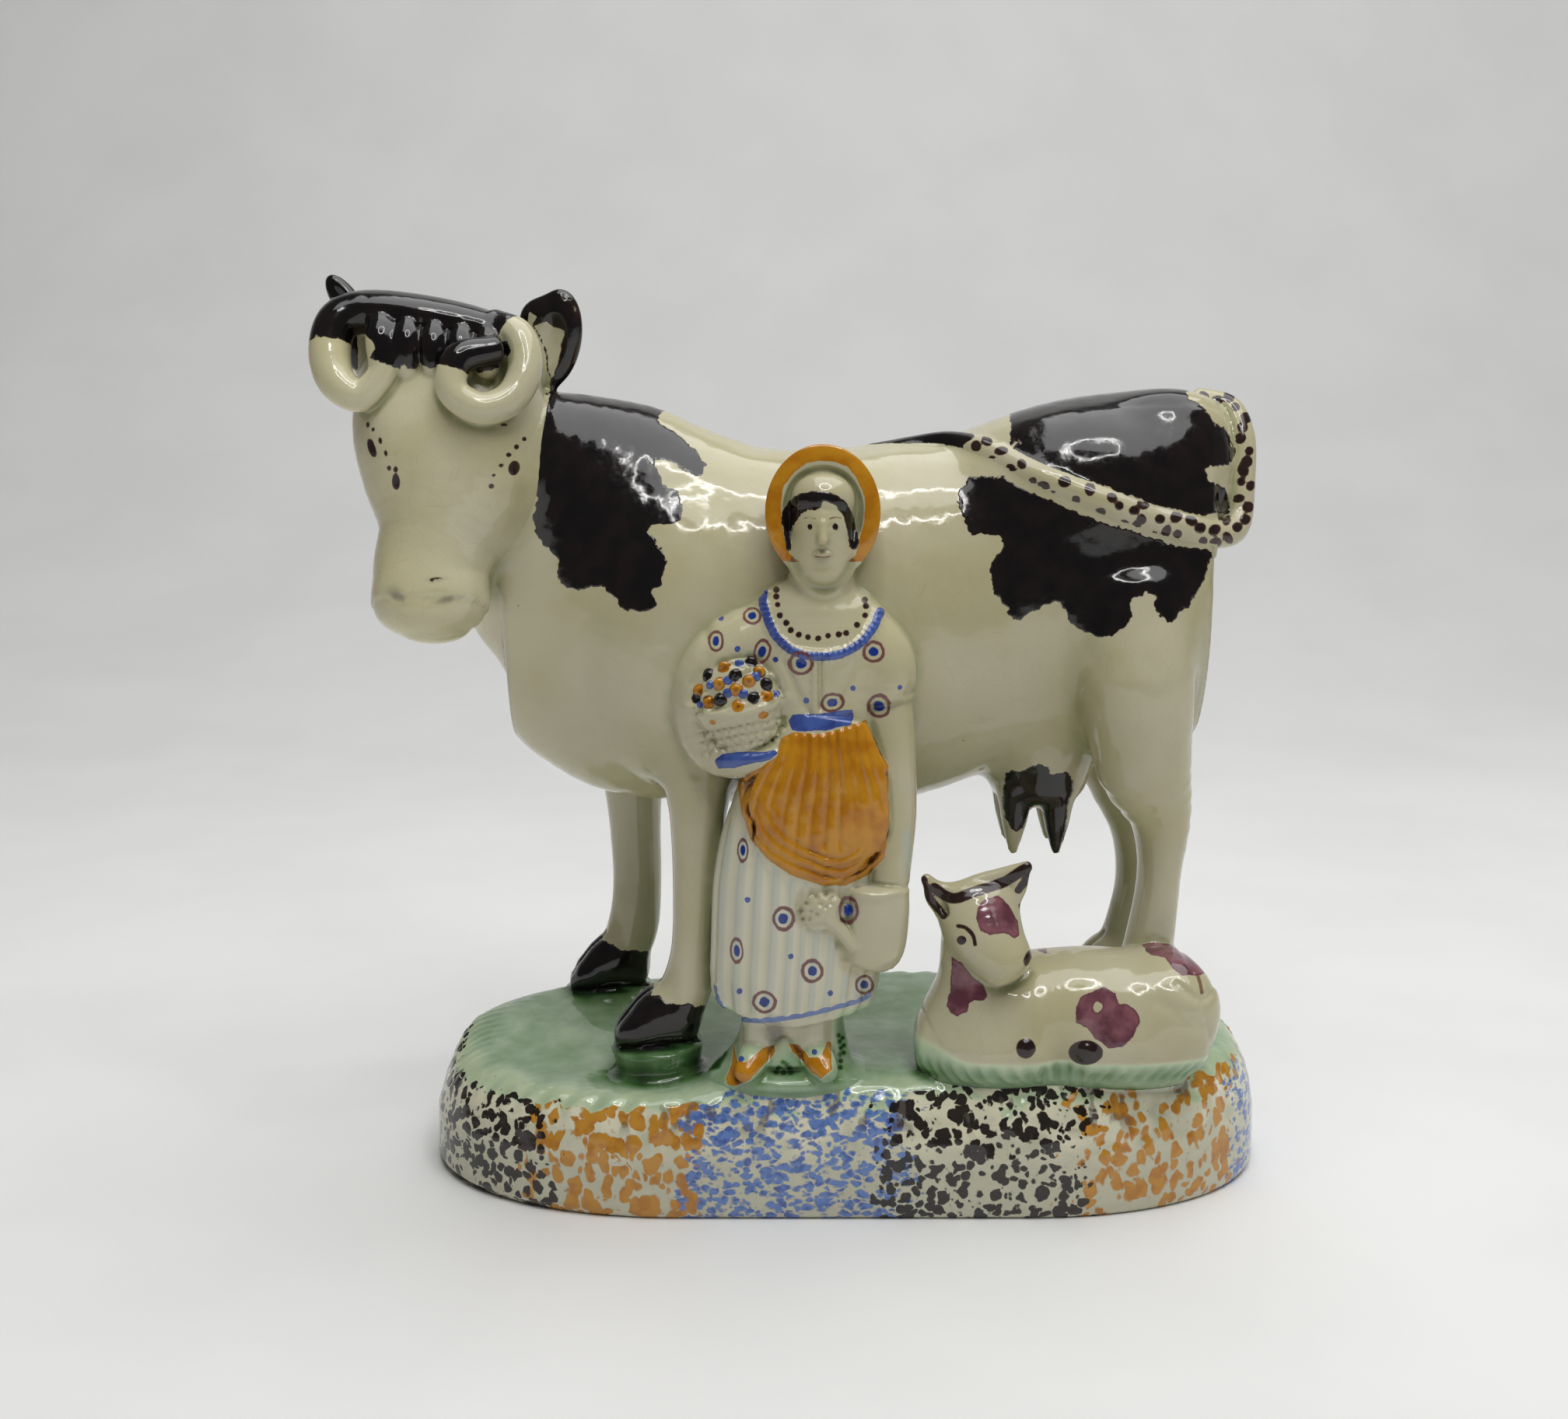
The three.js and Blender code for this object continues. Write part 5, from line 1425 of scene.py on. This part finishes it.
def glaze(name, layers):
    """The clear glaze over cream clay, with the piece's colour layers under it."""
    n = Nodes("glaze_" + name)
    broad, fine, grain = n.noise(17, 3), n.noise(2.6, 3, 40), n.noise(0.7, 2, 80)
    hollow_pool_shade, crevice_pool_shade = n.stored("hollow_pool_shade"), n.stored("crevice_pool_shade")
    warmth = n.most(n.smooth(broad, 0.35, 0.68), n.smooth(fine, 0.42, 0.75, 0, 0.22))
    cream, pale = n.blend(warmth, CREAM, CREAM_WARM), n.blend(warmth, PALE, PALE_WARM)
    if name == "base":
        # Painted light: the base's clay is painted up to a fifth lighter towards its top, where more light
        # falls.
        colour, pool_shade_colour = n.scaled(pale, n.smooth(n.along("Z"), 4, 16, 1.0, 1.2)), PALE_POOL_SHADE
    else:
        # Painted light: the clay is painted lighter at the cow's head and darker on all further right, and
        # darker on the calf under the cow's belly, for how the light falls there.
        depth = 0.84 if name == "calf" else n.smooth(n.along("X"), -64, -38, 1.05, 0.85)
        colour, pool_shade_colour = n.scaled(cream, depth), CREAM_POOL_SHADE
    if "pale" in layers:
        colour = n.blend(n.stored("pale"), colour, pale)
        # Blue-grey with the skirt's flutes: pooled glaze and painted shade.
        colour = n.blend(n.smooth(n.stored("flute_pool_shade"), 0.3, 0.85, 0, 0.48), colour, BLUE_GREY)
    # Hollows and creases are darkened towards the pool colour: pooled glaze and painted shade.
    pool_shade = n.most(n.smooth(hollow_pool_shade, 0.1, 0.85), n.smooth(crevice_pool_shade, 0.08, 0.45, 0, 0.8))
    colour = n.blend(pool_shade * n.smooth(fine, 0.2, 0.6, 0.45, 0.85), colour, pool_shade_colour)
    # crazing and iron specks in the glaze
    craze = n.smooth(n.cells(2.3, "DISTANCE_TO_EDGE"), 0.0, 0.025, 1, 0)
    colour = n.blend(craze * n.smooth(n.noise(30, 1, 7), 0.42, 0.62, 0.02, 0.17), colour, CRAZE)
    near = n.smooth(n.noise(23, 0, 51), 0.48, 0.7) * 0.026 - n.cells(8.5, shift=13)
    colour = n.blend(n.smooth(near, -0.006, 0.006, 0, 0.8), colour, SPECK)
    relief = broad * 0.5 + n.noise(5.5, 2, 21) * 0.16 + fine * 0.035

    if "green" in layers:
        amount = n.stored("green")
        # The green is darker in hollows: pooled glaze and painted shade.
        mottled = (n.noise(4.2, 4, 5, (1, 1, 0.35)) - 0.5) * 0.55 + hollow_pool_shade * 0.34
        value = amount + mottled * n.smooth(amount, 0.02, 0.3)
        colour = n.blend(n.smooth(value, 0.0, 0.14), colour, n.steps(value, GREENS))
    ragged = (n.noise(1.5, 2, 3) - 0.5) * 0.9 + (grain - 0.5) * 0.35

    def inside(layer, rag):
        return n.stored(layer) - 1.0 + ragged * rag

    def lay(layer, thick, thin, rag, rim, strength=1.0, wash=True):
        """One painted colour: thicker at its rim for a wash, or thinner there for a dense colour."""
        value = inside(layer, rag)
        edge = n.smooth(value, 0.0, rim, 1, 0)
        body = n.smooth(n.noise(3.1, 3, 17 + 9 * rag), 0.36, 0.68)
        shade = n.most(edge * 0.8, body) if wash else 1.0 - n.most(edge * 0.9, body * 0.22)
        paint = n.blend(shade, thin, thick)
        # The ochre darkens in creases and hollows: partly pooled colour, partly painted shade.
        if layer == "ochre":
            paint = n.blend(n.smooth(n.most(crevice_pool_shade, hollow_pool_shade * 0.3), 0.06, 0.42, 0, 0.9), paint, OCHRE_POOL_SHADE)
        return n.blend(n.smooth(value, -0.05, 0.06, 0, strength), colour, paint), value

    def sponge(layer, thick, thin, size, least, most, strength, soft, stretch, share):
        """Dabs of a sponge inside the layer's zone: rounded patches of mixed sizes with ragged rims."""
        shift = len(layer) * 11
        bend = n.vector("SUBTRACT", n.noise(1.6 * size, 2, shift, output="Color"), (0.5, 0.5, 0.5))
        place = n.vector("ADD", n.vector("MULTIPLY", n.place, stretch), n.scaled(bend, size * 1.5))
        rag = (n.noise(size * 0.5, 1, shift + 5) - 0.5) * 0.2
        drift = (n.noise(7, 2, shift + 9) - 0.5) * 2.4
        allowed = n.smooth(n.stored("sponge_" + layer) - 1.0 + drift, -0.5, 0.3)
        allowed = allowed * n.smooth(n.along("X"), -40, 40, 2 - share, share)
        value = -1.0
        for turn in (0, 37, 71):
            dab = n.cells(size, shift=shift + turn, randomness=0.85, place=place)
            kind = n.node("SeparateColor", "Red", {"Color": dab.beside("Color")})
            value = n.most(n.smooth(kind, 0.1, 0.95, least, most) * allowed - dab, value)
        value = value + rag
        body = n.most(n.smooth(value, 0, 0.1, 0.8, 0), n.smooth(n.noise(size * 0.8, 2, 60), 0.42, 0.66))
        return n.blend(n.smooth(value, -soft, soft, 0, strength), colour, n.blend(body, thin, thick))

    if name == "base":
        for row in SPONGED:
            colour = sponge(*row)
        grey = n.smooth(n.noise(3.4, 1.5, 31, (1, 1, 0.4)), 0.6, 0.64) * n.stored("upper")
        colour = n.blend(grey * 0.62, colour, STROKE)
    if "grey" in layers:
        colour = n.blend(n.smooth(inside("grey", 0.8), -0.35, 0.5, 0, 0.6), colour, GREY)
    for row in WASHES:
        if row[0] in layers:
            colour, _ = lay(*row)
    if "eye" in layers:
        away = 2.0 - n.stored("eye") + ragged * 0.45
        ring = 0.2 - n.math("ABSOLUTE", away - EYE_RING)
        colour = n.blend(n.smooth(ring, -0.05, 0.06, 0, 0.95), colour, RING)
        colour = n.blend(n.smooth(away, EYE_DOT + 0.06, EYE_DOT - 0.06), colour, COBALT)
    if "brown" in layers:
        colour = n.blend(n.smooth(inside("brown", 0.15), -0.06, 0.06, 0, 0.85), colour, BROWN)
    if "dark" in layers:
        colour, _ = lay("dark", DARK, DARK_THIN, 0.25, 0.25, wash=False)
    if "black" in layers:
        rag = 1.5 if name == "cow_body" else 0.7
        colour, value = lay("black", BLACK, BLACK_THIN, rag, 0.35, wash=False)
        relief = relief + n.smooth(value, -0.05, 0.25, 0, 0.05)
    bump = n.node("Bump", "Normal", {"Height": relief, "Distance": MM, "Strength": 1.0})
    for source, target in ((colour, "Base Color"), (n.smooth(grain, 0.3, 0.75, 0.07, 0.15), "Roughness"),
                           (GLAZE_IOR, "IOR"), (bump, "Normal")):
        n.link(source, n.shader.inputs[target])
    return n.material


# Pieces

# how far off the surface a point must be free for the glaze not to gather there and for no painted shade to
# darken it, mm
CREASE_REACH, CREVICE_REACH = 1.3, 0.45

for name, group, low, high, step, sink in PIECES:
    piece, grid, fields, whole, points, normals = make_piece(name, group, low, high, step, sink)
    mesh = piece.data
    shares = {other: sample_at(grid, field, points) for other, field in fields.items()}
    near_base = np.zeros(len(points))
    if "base" in shares and group != "base":
        near_base = 1 - ramp(shares["base"], 0.1, 1.7)
    paint = PAINTS[name](points, normals, near_base, shares)
    # How closed in each point is, kept as layers that darken hollows and creases: pooled glaze and painted
    # shade.
    for layer, reach, gain in (("hollow_pool_shade", CREASE_REACH, 1.2), ("crevice_pool_shade", CREVICE_REACH, 1)):
        outside = sample_at(grid, whole, points + normals * reach)
        paint.layers[layer] = np.clip((reach - outside) / reach * gain, 0, 1) - 1
    paint.store(mesh)
    mesh.materials.append(glaze(name, set(paint.layers)))
    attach(piece, "root")
    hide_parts("cow_group")


# Studio, in metres

SWEEP_FRONT, SWEEP_BACK, SWEEP_HALF, SWEEP_RADIUS, SWEEP_HEIGHT = -0.5, 0.75, 1.6, 0.45, 1.5
PAPER, PAPER_LIGHT, PAPER_ROUGHNESS = (0.8, 0.8, 0.795), (0.84, 0.84, 0.835), 0.62
RING_AT, RING_TOWARD = np.array((0.08, -0.42, 0.78)), np.array((0, 0, 0.08))
RING_RADIUS, RING_WIDTH, RING_PARTS, RING_STRENGTH = 0.19, 0.026, 72, 23
RING_COLOUR = (1, 0.995, 0.98, 1)
SKY_AT, SKY_TOWARD = (0.18, -0.02, 0.97), (0, 0.02, 0)
SKY_ENERGY, SKY_LENGTH, SKY_WIDTH = 8.8, 1.15, 1.0
WORLD_GREY = 0.075


def staged(name, points, faces, material):
    """A mesh of the studio, which isn't part of the object."""
    mesh = bpy.data.meshes.new(name)
    mesh.from_pydata(points, [], faces)
    mesh.polygons.foreach_set("use_smooth", [True] * len(faces))
    mesh.materials.append(material)
    thing = bpy.data.objects.new(name, mesh)
    bpy.context.scene.collection.objects.link(thing)


def sweep():
    """A paper floor that curves up into a backdrop."""
    turn = [(SWEEP_BACK - SWEEP_RADIUS + SWEEP_RADIUS * math.sin(a),
             SWEEP_RADIUS * (1 - math.cos(a))) for a in np.linspace(0, math.pi / 2, 33)]
    profile = [(SWEEP_FRONT, 0.0)] + turn + [(SWEEP_BACK, SWEEP_HEIGHT)]
    points = [(x, y, z) for y, z in profile for x in (-SWEEP_HALF, SWEEP_HALF)]
    faces = [(2 * i, 2 * i + 1, 2 * i + 3, 2 * i + 2) for i in range(len(profile) - 1)]
    n = Nodes("paper")
    colour = n.blend(n.smooth(n.noise(60, 3), 0.3, 0.7), PAPER, PAPER_LIGHT)
    # Painted shade: the paper is painted darker further back and to the right, less so higher up.
    shade = n.smooth(n.along("Y"), 130, 520, 0, 0.15) * n.smooth(n.along("X"), -500, 500, 0.6, 1.4)
    shade = shade * n.smooth(n.along("Z"), 60, 500, 1.0, 0.5)
    n.link(n.scaled(colour, 1.0 - shade), n.shader.inputs["Base Color"])
    n.link(PAPER_ROUGHNESS, n.shader.inputs["Roughness"])
    staged("paper", points, faces, n.material)


def ring_lamp():
    """A ring-shaped studio lamp above the camera."""
    facing = unit(RING_TOWARD - RING_AT)
    across = unit(np.cross(facing, (0, 0, 1)))
    upward = np.cross(across, facing)
    points, faces = [], []
    for i in range(RING_PARTS):
        turn = 2 * math.pi * i / RING_PARTS
        ray = across * math.cos(turn) + upward * math.sin(turn)
        points += [tuple(RING_AT + ray * r) for r in (RING_RADIUS - RING_WIDTH / 2,
                                                      RING_RADIUS + RING_WIDTH / 2)]
        j = (i + 1) % RING_PARTS
        faces.append((2 * i, 2 * i + 1, 2 * j + 1, 2 * j))
    glow = bpy.data.materials.new("lamp_glow")
    glow.use_nodes = True
    shader = glow.node_tree.nodes["Principled BSDF"]
    shader.inputs["Base Color"].default_value = (0, 0, 0, 1)
    shader.inputs["Emission Color"].default_value = RING_COLOUR
    shader.inputs["Emission Strength"].default_value = RING_STRENGTH
    staged("ring_lamp", points, faces, glow)


def sky_lamp():
    light = bpy.data.lights.new("sky", "AREA")
    light.shape, light.size, light.size_y, light.energy = "RECTANGLE", SKY_LENGTH, SKY_WIDTH, SKY_ENERGY
    lamp = bpy.data.objects.new("sky", light)
    way = np.array(SKY_TOWARD, float) - SKY_AT
    lamp.location = SKY_AT
    lamp.rotation_euler = (math.atan2(math.hypot(way[0], way[1]), -way[2]), 0, -math.atan2(way[0], way[1]))
    bpy.context.scene.collection.objects.link(lamp)


sweep()
ring_lamp()
sky_lamp()
world = bpy.data.worlds.new("studio")
bpy.context.scene.world = world
world.use_nodes = True
world.node_tree.nodes["Background"].inputs["Color"].default_value = (WORLD_GREY, WORLD_GREY, WORLD_GREY, 1)
bpy.context.scene.view_settings.view_transform = "Standard"

bpy.context.view_layer.update()
